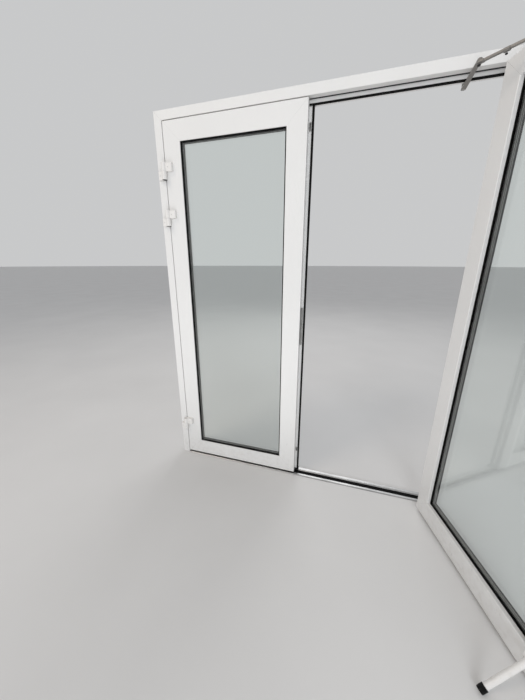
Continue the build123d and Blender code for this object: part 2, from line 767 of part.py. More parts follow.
def lock_case():
    """Lock case inside the lock stile, open towards the faceplate."""
    z0, z1 = LOCK_Z
    x1 = LEAF_MEET_X - FACEPLATE_T
    x0 = LEAF_MEET_X - LOCK_DEPTH
    y = depth(SHELL_FRONT / 2)
    half = LOCK_T / 2
    case = block(x0, x1, y - half, y + half, z0, z1)
    case -= block(x0 + LOCK_WALL, x1 + 1, y - half + LOCK_WALL, y + half - LOCK_WALL,
                  z0 + LOCK_WALL, z1 - LOCK_WALL)
    return case - lock_bores(0)


def lock_bores(grow):
    """Holes through the lock stile for the handle spindle and the cylinder."""
    start = depth(-1)
    length = DEPTH + 2
    half = SPINDLE + grow
    spindle = block(HANDLE_X - half, HANDLE_X + half, start, start + length, HANDLE_Z - half,
                    HANDLE_Z + half)
    return [spindle, cylinder_profile(BOLT_SLACK + grow, start, length)]


def lock_faceplate():
    """Steel faceplate let into the lock stile's edge."""
    z0, z1 = FACEPLATE_Z
    y = depth(SHELL_FRONT / 2)
    half = FACEPLATE_W / 2
    plate = block(LEAF_MEET_X - FACEPLATE_T, LEAF_MEET_X, y - half, y + half, z0, z1)
    return plate - lock_windows(BOLT_SLACK)


def lock_stile_cuts():
    """What is cut out of the lock stile for the faceplate, the spindle and the cylinder."""
    z0, z1 = FACEPLATE_Z
    y = depth(SHELL_FRONT / 2)
    half = FACEPLATE_W / 2 + FACEPLATE_FIT
    edge = block(LEAF_MEET_X - FACEPLATE_T, LEAF_MEET_X + 1, y - half, y + half,
                 z0 - FACEPLATE_FIT, z1 + FACEPLATE_FIT)
    return [edge] + lock_bores(BORE_CLEAR)


def latch_bolt():
    """Latch, out by its throw, bevelled on the side that meets the strike first."""
    y = depth(SHELL_FRONT / 2)
    half = LATCH_W / 2
    tip = LEAF_MEET_X + LATCH_OUT
    outline = Polyline(
        (LEAF_MEET_X - LATCH_L, y - half), (tip, y - half), (tip, y - half + LATCH_NOSE),
        (LEAF_MEET_X + LATCH_NOSE / 2, y + half), (LEAF_MEET_X - LATCH_L, y + half), close=True)
    return Pos(0, 0, LATCH_Z - LATCH_H / 2) * extrude(make_face(outline), amount=LATCH_H)


def dead_bolt():
    """Dead bolt, drawn back flush with the faceplate."""
    y = depth(SHELL_FRONT / 2)
    return block(LEAF_MEET_X - DEAD_L, LEAF_MEET_X, y - LATCH_W / 2, y + LATCH_W / 2,
                 DEAD_Z - DEAD_H / 2, DEAD_Z + DEAD_H / 2)


def lever(sign):
    """Lever handle on one face: sign is -1 in front and 1 behind."""
    start = sign * (DEPTH / 2 + ROSE_T / 2)
    reach = sign * (DEPTH / 2 + LEVER_OUT)
    neck = rod(LEVER_R, LEVER_OUT - ROSE_T / 2, (HANDLE_X, start, HANDLE_Z), (0, sign, 0))
    near, far = sorted((reach - sign * LEVER_T, reach))
    grip = block(HANDLE_X - LEVER_L, HANDLE_X + LEVER_W / 2, near, far, HANDLE_Z - LEVER_W / 2,
                 HANDLE_Z + LEVER_W / 2)
    grip = chamfer(grip.edges(), length=LEVER_EDGE)
    half = SPINDLE / 2 + SPINDLE_FIT
    low, high = sorted((start - sign, start + sign * LEVER_SOCKET))
    socket = block(HANDLE_X - half, HANDLE_X + half, low, high, HANDLE_Z - half, HANDLE_Z + half)
    return neck + grip - socket


def handle_spindle():
    """Square spindle that joins the two levers."""
    reach = DEPTH / 2 + ROSE_T / 2 + LEVER_SOCKET - LEVER_WEB
    half = SPINDLE / 2
    return block(HANDLE_X - half, HANDLE_X + half, -reach, reach, HANDLE_Z - half, HANDLE_Z + half)


def handle_roses():
    """Long roses round the lever necks and the cylinder, on both faces."""
    roses = []
    for sign in (-1, 1):
        for z, is_lever in ((HANDLE_Z, True), (CYLINDER_Z - CYL_FIN_H / 4, False)):
            near, far = sorted((sign * DEPTH / 2, sign * (DEPTH / 2 + ROSE_T)))
            plate = block(HANDLE_X - ROSE_W / 2, HANDLE_X + ROSE_W / 2, near, far, z - ROSE_L / 2,
                          z + ROSE_L / 2)
            plate = chamfer(plate.edges().filter_by(Axis.Y), length=ROSE_CORNER)
            plate = chamfer(plate.edges().group_by(Axis.Y)[0 if sign < 0 else -1],
                            length=ROSE_EDGE)
            if is_lever:
                plate -= rod(LEVER_R + ROSE_FIT, ROSE_T + 2, (HANDLE_X, near - 1, z), (0, 1, 0))
            else:
                plate -= cylinder_profile(ROSE_FIT, near - 1, ROSE_T + 2)
            roses.append(plate)
    return roses


def cylinder_profile(grow, y_start, length):
    """Euro profile bar: a round barrel with a fin below it."""
    barrel = rod(CYL_R + grow, length, (HANDLE_X, y_start, CYLINDER_Z), (0, 1, 0))
    half = CYL_FIN_W / 2 + grow
    fin = block(HANDLE_X - half, HANDLE_X + half, y_start, y_start + length,
                CYLINDER_Z - CYL_FIN_H - grow, CYLINDER_Z)
    return barrel + fin


def lock_cylinder():
    """Key cylinder through both faces, with a key slot in each end."""
    reach = DEPTH / 2 + CYL_PROUD
    body = cylinder_profile(0, -reach, 2 * reach)
    width, height, sunk = KEY_SLOT
    for y0 in (-reach - 1, reach - sunk):
        body -= block(HANDLE_X - width / 2, HANDLE_X + width / 2, y0, y0 + sunk + 1,
                      CYLINDER_Z - height / 2, CYLINDER_Z + height / 2)
    return body


# Kick-down stop of the active leaf

def kick_pivot():
    """Pivot of the kick-down stop."""
    return Vector(LEAF_MEET_X - KICK_FROM_EDGE, depth(DEPTH + KICK_PIVOT_OUT), KICK_PIVOT_Z)


def kick_place():
    """Place of the stop's own frame: pivot at its origin, leaned towards the lock edge."""
    return Location(kick_pivot()) * Rot(0, -KICK_TILT, 0)


def kick_stop_bracket():
    """Folded bracket with two ears, and its pivot pin."""
    width, height, thick = KICK_PLATE
    pivot = kick_pivot()
    plate = block(pivot.X - width / 2, pivot.X + width / 2, depth(DEPTH), depth(DEPTH + thick),
                  pivot.Z - height / 2, pivot.Z + height / 2)
    plate = chamfer(plate.edges().filter_by(Axis.Y), length=KICK_PLATE_ROUND / 2)
    inner = KICK_EYE_R + KICK_SIDE_CLEAR
    back = thick - KICK_PIVOT_OUT - KICK_EAR_SINK
    bracket = plate
    for sign in (-1, 1):
        x0 = inner if sign > 0 else -inner - KICK_EAR_T
        ear = block(x0, x0 + KICK_EAR_T, back, 0, -KICK_EAR_R, KICK_EAR_R)
        ear += rod(KICK_EAR_R, KICK_EAR_T, (x0, 0, 0), (1, 0, 0))
        bracket += kick_place() * ear
    reach = inner + KICK_EAR_T
    bore = kick_place() * rod(KICK_PIN_R, 2 * reach + 2, (-reach - 1, 0, 0), (1, 0, 0))
    pin = kick_place() * rod(KICK_PIN_R, 2 * reach, (-reach, 0, 0), (1, 0, 0))
    return [bracket - bore, pin]


def kick_direction():
    """Unit direction of the arm in the stop's own frame."""
    return Vector(0, cos(radians(KICK_DOWN)), -sin(radians(KICK_DOWN)))


def kick_stop_arm():
    """White tube with a flattened eye on the pivot pin."""
    along = kick_direction()
    length = KICK_L - KICK_FOOT_L + KICK_FOOT_GRIP
    tube = rod(KICK_TUBE_R, length, (0, 0, 0), along)
    tube += rod(KICK_EYE_R, 2 * KICK_EYE_R, (-KICK_EYE_R, 0, 0), (1, 0, 0))
    inside = rod(KICK_TUBE_R - KICK_TUBE_WALL, length, along * (KICK_EYE_R + WALL), along)
    tube -= inside
    tube -= rod(KICK_PIN_R + PIN_FIT, 4 * KICK_EYE_R, (-2 * KICK_EYE_R, 0, 0), (1, 0, 0))
    return kick_place() * tube


def kick_stop_foot():
    """Black rubber foot pushed over the tube's end."""
    along = kick_direction()
    foot = rod(KICK_FOOT_R, KICK_FOOT_L, along * (KICK_L - KICK_FOOT_L), along)
    foot = chamfer(foot.edges().filter_by(GeomType.CIRCLE).sort_by(Axis.Z)[0],
                   length=KICK_FOOT_EDGE)
    foot -= rod(KICK_TUBE_R, KICK_FOOT_GRIP, along * (KICK_L - KICK_FOOT_L), along)
    return kick_place() * foot


# Closer

def closer_spindle_place():
    """Axis of the closer's spindle on the head's rear face."""
    return Vector(AXIS_X - SPINDLE_SIDE, depth(DEPTH + SPINDLE_BACK), 0)


def swing(point, angle):
    """A point turned about the active leaf's hinge axis, seen from above."""
    x = point.X - AXIS_X
    y = point.Y - AXIS_Y
    c = cos(radians(angle))
    s = sin(radians(angle))
    return Vector(AXIS_X + c * x - s * y, AXIS_Y + s * x + c * y, point.Z)


def shoe_pivot_closed():
    """Pivot of the closer's shoe with the active leaf closed."""
    return Vector(AXIS_X - SHOE_ALONG, depth(DEPTH + SHOE_OUT), 0)


def elbow_at_rest():
    """Where the two arms meet with the leaf open, to the left of the line between their pivots."""
    start = closer_spindle_place()
    target = swing(shoe_pivot_closed(), REST_OPEN)
    span = hypot(target.X - start.X, target.Y - start.Y)
    toward = atan2(target.Y - start.Y, target.X - start.X)
    bend = acos((ARM_L ** 2 + span ** 2 - FOREARM_L ** 2) / (2 * ARM_L * span))
    angle = toward - bend
    return Vector(start.X + ARM_L * cos(angle), start.Y + ARM_L * sin(angle), 0)


def closer_body():
    """Closer body on the head's rear face, bored underneath for its spindle."""
    spindle = closer_spindle_place()
    x0 = spindle.X - CLOSER_LEAD
    top = DOOR_H - CLOSER_TOP_IN
    body = block(x0, x0 + CLOSER_L, depth(DEPTH), depth(DEPTH + CLOSER_D), top - CLOSER_H, top)
    rear = body.edges().filter_by(Axis.X).group_by(Axis.Y)[-1]
    body = fillet(rear, radius=CLOSER_ROUND)
    bore_top = top - CLOSER_H / 3
    low = top - CLOSER_H - 1
    return body - rod(AXLE_R + PIN_FIT, bore_top - low, (spindle.X, spindle.Y, low), (0, 0, 1))


def closer_spindle():
    """Spindle that comes out of the closer body and carries the main arm."""
    spindle = closer_spindle_place()
    bore_top = DOOR_H - CLOSER_TOP_IN - CLOSER_H / 3
    low = ARM_TOP - ARM_T
    return rod(AXLE_R, bore_top - PIN_FIT - low, (spindle.X, spindle.Y, low), (0, 0, 1))


def flat_arm(start, end, start_r, end_r, z0, z1):
    """Flat bar with round ends that narrows from one end to the other, in plan between two points."""
    length = hypot(end.X - start.X, end.Y - start.Y)
    lean = acos((start_r - end_r) / length)
    first = [(start_r * cos(s * lean), start_r * sin(s * lean)) for s in (-1, 1)]
    second = [(length + end_r * cos(s * lean), end_r * sin(s * lean)) for s in (1, -1)]
    web = make_face(Polyline(*first, *second, close=True))
    section = web + Circle(start_r) + Pos(length, 0) * Circle(end_r)
    turn = degrees(atan2(end.Y - start.Y, end.X - start.X))
    return Pos(start.X, start.Y, z0) * Rot(0, 0, turn) * extrude(section, amount=z1 - z0)


def closer_main_arm():
    """Flat main arm with a raised hub on the spindle and the elbow's bolt head underneath."""
    spindle = closer_spindle_place()
    elbow = elbow_at_rest()
    arm = flat_arm(spindle, elbow, ARM_HUB_R, ARM_END_R, ARM_TOP - ARM_T, ARM_TOP)
    hub_top = DOOR_H - CLOSER_TOP_IN - CLOSER_H - HUB_CLEAR
    arm += rod(ARM_HUB_R - ARM_HUB_STEP, hub_top - ARM_TOP, (spindle.X, spindle.Y, ARM_TOP), (0, 0, 1))
    arm -= rod(AXLE_R, 2 * CLOSER_H, (spindle.X, spindle.Y, ARM_TOP - ARM_T - 1), (0, 0, 1))
    washer = rod(ELBOW_WASHER_R, FOREARM_DROP - ELBOW_GAP,
                 (elbow.X, elbow.Y, FOREARM_TOP + ELBOW_GAP), (0, 0, 1))
    return arm + washer


def closer_forearm():
    """Adjustable forearm: a flat bar with two eyes and a clamp where its length is set."""
    elbow = elbow_at_rest()
    shoe = swing(shoe_pivot_closed(), REST_OPEN)
    z0 = FOREARM_TOP - FOREARM_T
    arm = flat_arm(elbow, shoe, FOREARM_EYE_R, FOREARM_END_R, z0, FOREARM_TOP)
    turn = degrees(atan2(shoe.Y - elbow.Y, shoe.X - elbow.X))
    trims = []
    for sign in (-1, 1):
        near, far = sorted((sign * FOREARM_W / 2, sign * 2 * FOREARM_EYE_R))
        trim = block(FOREARM_WAIST, FOREARM_L - FOREARM_WAIST, near, far, z0 - 1, FOREARM_TOP + 1)
        trims.append(Pos(elbow.X, elbow.Y, 0) * Rot(0, 0, turn) * trim)
    arm -= trims
    clamp = Pos(elbow.X, elbow.Y, 0) * Rot(0, 0, turn) * rod(
        CLAMP_R, CLAMP_L, (CLAMP_AT - CLAMP_L / 2, 0, FOREARM_TOP - FOREARM_T / 2 - CLAMP_DROP),
        (1, 0, 0))
    ceiling = block(-DOOR_W, DOOR_W, -DOOR_W, DOOR_W, FOREARM_TOP, FOREARM_TOP + CLAMP_L)
    arm += clamp - ceiling
    return arm - rod(SHOE_PIN_R + PIN_FIT, 2 * FOREARM_T, (shoe.X, shoe.Y, z0 - 1), (0, 0, 1))


def closer_shoe():
    """Shoe on the active leaf's rear face, with the pin that the forearm turns on."""
    pivot = shoe_pivot_closed()
    length, height, thick = SHOE_PLATE
    top = FOREARM_TOP - FOREARM_T - SHOE_CLEAR
    face = depth(DEPTH)
    plate = block(pivot.X - length / 2, pivot.X + length / 2, face, face + thick, top - height, top)
    plate = chamfer(plate.edges().filter_by(Axis.Y), length=SHOE_ROUND)
    half = SHOE_ARM_W / 2
    arm = block(pivot.X - half, pivot.X + half, face, pivot.Y, top - SHOE_ARM_T, top)
    arm += rod(half, SHOE_ARM_T, (pivot.X, pivot.Y, top - SHOE_ARM_T), (0, 0, 1))
    pin = rod(SHOE_PIN_R, SHOE_ARM_T + FOREARM_T + SHOE_PIN_PROUD,
              (pivot.X, pivot.Y, top - SHOE_ARM_T), (0, 0, 1))
    return mirror(plate + arm + pin, about=Plane.YZ)


# Nodes

def frame_nodes():
    """Pieces of the fixed frame and what is fastened to it."""
    return {
        "left_jamb_profile": frame_member("left"),
        "head_profile": head_profile(),
        "right_jamb_profile": frame_member("right"),
        "frame_thermal_strips": frame_strips(),
        "frame_corner_cleats": frame_cleats(),
        "frame_stop_gaskets": stop_gaskets(),
        "threshold": threshold(),
        "threshold_seal": threshold_seal(),
        "bolt_keeps": bolt_keeps(),
        "hinge_frame_halves": [frame_hinge_half(side, z) for side in (-1, 1) for z in HINGE_SPLITS],
        "hinge_pins": hinge_pins(),
        "closer_body": closer_body(),
        "closer_spindle": closer_spindle(),
        "closer_main_arm": closer_main_arm(),
    }


def head_profile():
    """Shells of the head, with the hole that the upper flush bolt enters."""
    front, rear = frame_member("top")
    rear -= rod(BOLT_R + BOLT_FIT, 2 * WALL, (BOLT_X, depth(BOLT_DEPTH), STOP_UNDER - 1), (0, 0, 1))
    return [front, rear]


def common_leaf_nodes(name, meeting_inset):
    """Pieces that both leaves have, hinged on the left."""
    return {
        f"{name}_hinge_stile": leaf_member("left", meeting_inset),
        f"{name}_top_rail": leaf_member("top", meeting_inset),
        f"{name}_bottom_rail": leaf_member("bottom", meeting_inset),
        f"{name}_thermal_strips": leaf_strips(meeting_inset),
        f"{name}_corner_cleats": leaf_cleats(),
        f"{name}_glass_panes": glass_panes(),
        f"{name}_glass_spacer": glass_spacer(),
        f"{name}_glazing_beads": glazing_beads(),
        f"{name}_glazing_rubbers": glazing_rubbers(),
        f"{name}_bottom_brush": bottom_brush(),
    }


def passive_nodes():
    """Pieces of the passive leaf; the cap of its lowest hinge is missing."""
    front, rear = leaf_member("right", STOP)
    nodes = common_leaf_nodes("passive", STOP)
    nodes.update({
        "passive_meeting_stile": [front - lock_windows(STRIKE_CLEAR), rear],
        "passive_hinge_halves": leaf_hinge_halves(-1, PASSIVE_CAP_COUNT),
        "passive_hinge_caps": [hinge_cap(-1, z) for z in HINGE_SPLITS[-PASSIVE_CAP_COUNT:]],
        "astragal": astragal(),
        "astragal_gasket": astragal_gasket(),
        "astragal_end_caps": astragal_caps(),
        "strike_plate": strike_plate(),
        "bolt_housings": bolt_housings(),
        "upper_flush_bolt": flush_bolt(BOLT_TABS[1], LEAF_TOP - STOP),
        "lower_flush_bolt": flush_bolt(BOLT_TABS[0], CAP_LOW + BOLT_SLACK),
    })
    return nodes


def active_nodes():
    """Pieces of the active leaf, closed and hinged on the left like the passive one."""
    front, rear = leaf_member("right", MEETING_INSET)
    nodes = common_leaf_nodes("active", MEETING_INSET)
    nodes.update({
        "active_lock_stile": [front - lock_stile_cuts(), rear - lock_bores(BORE_CLEAR)],
        "active_hinge_halves": leaf_hinge_halves(-1, len(HINGE_SPLITS)),
        "active_hinge_caps": [hinge_cap(-1, z) for z in HINGE_SPLITS],
        "lock_case": lock_case(),
        "lock_faceplate": lock_faceplate(),
        "lock_cylinder": lock_cylinder(),
        "handle_roses": handle_roses(),
        "closer_shoe": closer_shoe(),
        "kick_stop_bracket": kick_stop_bracket(),
        "kick_stop_arm": kick_stop_arm(),
        "kick_stop_foot": kick_stop_foot(),
        "latch_bolt": latch_bolt(),
        "dead_bolt": dead_bolt(),
        "lever_handles": [lever(-1), lever(1)],
        "handle_spindle": handle_spindle(),
    })
    return nodes


def solids_of(shape):
    """All solids of a shape or of a list of shapes."""
    pieces = shape if isinstance(shape, list) else [shape]
    found = []
    for piece in pieces:
        found.extend(piece.solids())
    return found


def swung_open(shape):
    """Pieces of the active leaf, mirrored to the right and swung to where it stands open."""
    turn = Pos(AXIS_X, AXIS_Y, 0) * Rot(0, 0, REST_OPEN) * Pos(-AXIS_X, -AXIS_Y, 0)
    return [turn * mirror(solid, about=Plane.YZ) for solid in solids_of(shape)]


def write(name, shape):
    """One STEP file for one node."""
    solids = solids_of(shape)
    export_step(solids[0] if len(solids) == 1 else Compound(children=solids), f"parts/{name}.step")


def main():
    """Build every node and write its file."""
    os.makedirs("parts", exist_ok=True)
    nodes = dict(frame_nodes())
    nodes.update(passive_nodes())
    nodes.update({name: swung_open(shape) for name, shape in active_nodes().items()})
    nodes["closer_forearm"] = closer_forearm()
    for name, shape in nodes.items():
        write(name, shape)
    print(len(nodes), "nodes")


main()
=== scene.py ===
import json
import math
import bpy
import numpy as np
from mathutils import Matrix, Vector


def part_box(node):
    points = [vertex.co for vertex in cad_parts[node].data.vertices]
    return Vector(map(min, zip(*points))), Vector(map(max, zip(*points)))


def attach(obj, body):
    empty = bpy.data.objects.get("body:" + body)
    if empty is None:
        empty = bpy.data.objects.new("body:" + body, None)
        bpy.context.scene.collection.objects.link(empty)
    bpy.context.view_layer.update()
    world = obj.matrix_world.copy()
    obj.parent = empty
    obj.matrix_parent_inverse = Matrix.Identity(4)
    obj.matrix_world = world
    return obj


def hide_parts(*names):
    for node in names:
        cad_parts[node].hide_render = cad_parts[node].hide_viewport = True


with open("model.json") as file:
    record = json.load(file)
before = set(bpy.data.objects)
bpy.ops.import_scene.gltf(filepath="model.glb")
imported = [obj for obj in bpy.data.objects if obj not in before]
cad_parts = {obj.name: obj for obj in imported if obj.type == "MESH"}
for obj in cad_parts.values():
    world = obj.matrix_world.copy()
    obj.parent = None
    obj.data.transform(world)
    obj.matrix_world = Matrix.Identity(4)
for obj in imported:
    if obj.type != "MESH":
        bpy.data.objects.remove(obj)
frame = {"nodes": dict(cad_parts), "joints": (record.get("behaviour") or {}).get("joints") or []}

bl_info = {
    "name": "Glass entrance door",
    "version": (1, 0, 0),
    "blender": (4, 5, 0),
    "location": "3D View > Sidebar > Door",
    "description": "Finishes and fine parts for a double glazed entrance door",
    "category": "Object",
}

MM = 0.001
NODES = frame["nodes"]
JOINTS = {joint["name"]: joint for joint in frame["joints"]}
LEAVES = ("passive", "active")


# Places that follow from the frame

def corner_box(node):
    """Lowest and highest corner of a CAD node as numpy arrays."""
    low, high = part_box(node)
    return np.array(low), np.array(high)


def joint_place(name):
    """Point that a hinge joint turns about."""
    return np.array(JOINTS[name]["pos_m"])


FRAME_LOW, FRAME_HIGH = corner_box("head_profile")
STILE_LOW, STILE_HIGH = corner_box("passive_hinge_stile")
PANES_LOW, PANES_HIGH = corner_box("passive_glass_panes")
BEADS_LOW, BEADS_HIGH = corner_box("passive_glazing_beads")
SPACER_LOW, SPACER_HIGH = corner_box("passive_glass_spacer")
SPACER_EDGES = (SPACER_LOW[0], SPACER_HIGH[0], SPACER_LOW[2], SPACER_HIGH[2])
MEETING_EDGE = float(corner_box("passive_meeting_stile")[1][0])
FACE_Y = float(FRAME_LOW[1])
BACK_Y = float(FRAME_HIGH[1])
HINGE = joint_place("active_leaf_hinge")
OPEN_ANGLE = -math.radians(JOINTS["active_leaf_hinge"]["range_deg"][0])

# Sizes of the solids that the fine parts follow
GLASS_BITE = 12.0 * MM
SPACER_WIDE = 20.0 * MM
PANE_THICK = 6.0 * MM
FRAME_FACE = 46.0 * MM
LEAF_FACE = 104.0 * MM
REAR_INSET = 24.0 * MM
SHELL_MIDDLE = 15.0 * MM
STOP_W = 68.0 * MM
STOP_FRONT = 42.0 * MM
SILL_FLOOR = (33.0 * MM, 4.0 * MM)
SILL_RIDGE = (44.0 * MM, 12.0 * MM)
BACKSET = 50.0 * MM
STRIKE_THICK = 1.5 * MM
ROSE_THICK = 8.0 * MM
CYLINDER_DROP = 92.0 * MM
HINGE_HALF = 42.5 * MM
HINGE_PAIR = 247.5 * MM
BLOCK_OUT = 19.0 * MM
# Radius of the black discs under the frame's hinge halves, which paint the shade of the knuckles'
# undersides
SHADE_DISC_RADIUS = 13.6 * MM
ARM_END = 7.5 * MM
ARM_GAP = 2.0 * MM
CLAMP_AT = 84.0 * MM
FOOT_RADIUS = 12.5 * MM
FOOT_LENGTH = 24.0 * MM

# Screws' places, from a pin's axis, a plate's middle or a plate's end; the radii are the heads' own
HINGE_SCREW_AT = 26.0 * MM
ROSE_SCREW_AT = 28.0 * MM
VALVE_SCREW_AT = 6.0 * MM
PLATE_END_RADII = 3.0
PLATE_MARGIN = 1.0 * MM
STRIKE_SCREW_SHIFT = 1.0 * MM
CLAMP_BOLT_DROP = 4.6 * MM

# Screws' sizes: a share is of the plate screws' radius, and a bolt has its radius and its height
GRUB_SHARE = 0.7
ROSE_SHARE = 0.8
VALVE_SCREW_RADIUS = 3.2 * MM
HUB_SCREW = (4.2 * MM, 2.0 * MM)
ELBOW_BOLT = (6.0 * MM, 3.2 * MM)
CLAMP_BOLT = (4.5 * MM, 3.0 * MM)

# Seams, and how finely curves are drawn
SEAM_PROUD = 0.03 * MM
SEAM_SUNK = 0.3 * MM
HEAD_SIDES = 24
DOME_STEPS = 6
ROUND_STEPS = 7
SHARP_ANGLE = 35.0

# Turned profiles as (distance along, radius): heads in shares of their own radius, the rest in mm.
# The smallest radius leaves a ring that a flat face closes.
POLE = 0.02
SCREW_HEAD = ((-0.30, 1.0), (0.02, 1.0), (0.08, 0.90), (0.10, 0.46), (-0.16, 0.38), (-0.16, POLE))
END_PLATE = ((-1.0, 15.0), (0.8, 15.0), (1.4, 14.2), (1.4, 0.1))


class DoorSizes(bpy.types.PropertyGroup):
    """Sizes of the fine parts that the solids leave plain."""
    lip_radius: bpy.props.FloatProperty(
        name="Glazing lip", description="Radius of the rounded lip of the glazing rubbers",
        default=2.4 * MM, unit="LENGTH")
    lip_inset: bpy.props.FloatProperty(
        name="Lip place", description="How far the lip's middle lies inside the glass opening",
        default=1.6 * MM, unit="LENGTH")
    sealant_width: bpy.props.FloatProperty(
        name="Spacer sealant", description="Black line of sealant on each edge of the spacer bar",
        default=3.2 * MM, unit="LENGTH")
    pile_pitch: bpy.props.FloatProperty(
        name="Brush pitch", description="Distance between two tufts of the floor brush",
        default=2.4 * MM, unit="LENGTH")
    screw_radius: bpy.props.FloatProperty(
        name="Screw head", description="Radius of the countersunk screws in plates",
        default=3.6 * MM, unit="LENGTH")
    seam_width: bpy.props.FloatProperty(
        name="Mitre seam", description="Width of the fine joint line in a mitred corner",
        default=0.35 * MM, unit="LENGTH")
    foot_ribs: bpy.props.IntProperty(
        name="Foot ribs", description="Number of rounded ribs on the stop's foot", default=4)


class DoorColours(bpy.types.PropertyGroup):
    """Colours of the finishes."""
    white: bpy.props.FloatVectorProperty(
        name="White coat", description="Powder coat of the profiles", subtype="COLOR", size=3,
        default=(0.80, 0.79, 0.775))
    fitting_white: bpy.props.FloatVectorProperty(
        name="White fittings", description="Coat of hinges and stop", subtype="COLOR", size=3,
        default=(0.80, 0.78, 0.755))
    rubber: bpy.props.FloatVectorProperty(
        name="Rubber", description="Seals and glazing rubbers", subtype="COLOR", size=3,
        default=(0.0045, 0.0045, 0.0045))
    plastic: bpy.props.FloatVectorProperty(
        name="Black plastic", description="Caps, strips and brush holders", subtype="COLOR", size=3,
        default=(0.010, 0.010, 0.011))
    sill: bpy.props.FloatVectorProperty(
        name="Sill", description="Plain aluminium of the sill", subtype="COLOR", size=3,
        default=(0.56, 0.56, 0.56))
    steel: bpy.props.FloatVectorProperty(
        name="Steel", description="Zinc plated and stainless steel", subtype="COLOR", size=3,
        default=(0.56, 0.56, 0.55))
    closer: bpy.props.FloatVectorProperty(
        name="Closer grey", description="Enamel of the closer and its arms", subtype="COLOR",
        size=3, default=(0.235, 0.222, 0.208))
    spacer: bpy.props.FloatVectorProperty(
        name="Spacer", description="Spacer bar between the panes", subtype="COLOR", size=3,
        default=(0.13, 0.128, 0.122))
    glass: bpy.props.FloatVectorProperty(
        name="Glass", description="Tint of the panes", subtype="COLOR", size=3,
        default=(0.955, 0.978, 0.968))
    floor: bpy.props.FloatVectorProperty(
        name="Floor", description="Studio floor", subtype="COLOR", size=3,
        default=(0.72, 0.71, 0.70))


# Meshes

def outward(points, faces):
    """Faces turned so that the closed surface's signed volume is positive.

    faces is a list of index arrays, one row a face. The volume is the sum, over the triangles of
    every face, of a sixth of the triple product of their three corners.
    """
    volume = 0.0
    for rows in faces:
        for k in range(1, rows.shape[1] - 1):
            triple = np.cross(points[rows[:, k]], points[rows[:, k + 1]])
            volume += float(np.sum(points[rows[:, 0]] * triple)) / 6
    return faces if volume > 0 else [rows[:, ::-1] for rows in faces]


def add_piece(name, shells, body, finish_name, smooth=SHARP_ANGLE):
    """One object from a list of closed (points, faces) shells, riding on a CAD body.

    Edges that turn by more than the angle smooth, in degrees, stay sharp.
    """
    points, faces, start = [], [], 0
    for shell_points, shell_faces in shells:
        points.append(shell_points)
        for rows in outward(shell_points, shell_faces):
            faces.extend((rows + start).tolist())
        start += len(shell_points)
    mesh = bpy.data.meshes.new(name)
    mesh.from_pydata(np.vstack(points).tolist(), [], faces)
    mesh.polygons.foreach_set("use_smooth", np.ones(len(mesh.polygons), bool))
    mesh.set_sharp_from_angle(angle=math.radians(smooth))
    mesh.validate()
    mesh.update()
    piece = bpy.data.objects.new(name, mesh)
    bpy.context.scene.collection.objects.link(piece)
    mesh.materials.append(finish(finish_name))
    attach(piece, body)
    return piece


def grid_faces(rings, count, closed):
    """Quads between neighbouring rings of a grid whose rings have count points each."""
    ring = np.arange(rings if closed else rings - 1)[:, None]
    item = np.arange(count)[None, :]
    after = (ring + 1) % rings
    beside = (item + 1) % count
    quads = np.stack([ring * count + item, ring * count + beside,
                      after * count + beside, after * count + item], axis=-1)
    return quads.reshape(-1, 4)


def tube_faces(rings, count):
    """Faces of a tube with a flat end at its first and at its last ring."""
    last = (rings - 1) * count
    ends = np.stack([np.arange(count)[::-1], last + np.arange(count)])
    return [grid_faces(rings, count, False), ends]


def circle_angles(count):
    """Angles of count points spread evenly round a full turn."""
    return np.linspace(0, 2 * math.pi, count, endpoint=False)


def rectangle_loop(section, x0, x1, z0, z1):
    """Section carried round an upright rectangle with mitred corners.

    A section point (w, y) lies w inside the rectangle's edge at depth y, so at each corner it is
    the corner moved inwards by w along both sides.
    """
    w, y = section[:, 0], section[:, 1]
    signs = np.array([(1, 1), (-1, 1), (-1, -1), (1, -1)], float)
    corners = np.array([(x0, z0), (x1, z0), (x1, z1), (x0, z1)])
    x = corners[:, 0, None] + signs[:, 0, None] * w[None, :]
    z = corners[:, 1, None] + signs[:, 1, None] * w[None, :]
    points = np.stack([x, np.broadcast_to(y, x.shape), z], axis=-1).reshape(-1, 3)
    return points, [grid_faces(len(corners), len(section), True)]


def three_sides(section, x0, x1, z0, z1):
    """Section carried up the left side, along the top and down the right side of a rectangle.

    A section point (w, y) lies w inside the rectangle's edge at depth y; both upper corners are
    mitred and both feet are cut level at z0.
    """
    w, y = section[:, 0], section[:, 1]
    foot = np.full_like(w, z0)
    x = np.stack([x0 + w, x0 + w, x1 - w, x1 - w])
    z = np.stack([foot, z1 - w, z1 - w, foot])
    points = np.stack([x, np.broadcast_to(y, x.shape), z], axis=-1).reshape(-1, 3)
    return points, tube_faces(len(x), len(section))


def flat_strip(start, end, normal, width, proud, sunk):
    """Thin bar on a surface: its four edges run from start to end, half the width to each side."""
    along = (end - start) / np.linalg.norm(end - start)
    side = np.cross(normal, along) * width / 2
    out, back = normal * proud, -normal * sunk
    section = np.stack([side + out, -side + out, -side + back, side + back])
    return np.vstack([start + section, end + section]), tube_faces(2, len(section))


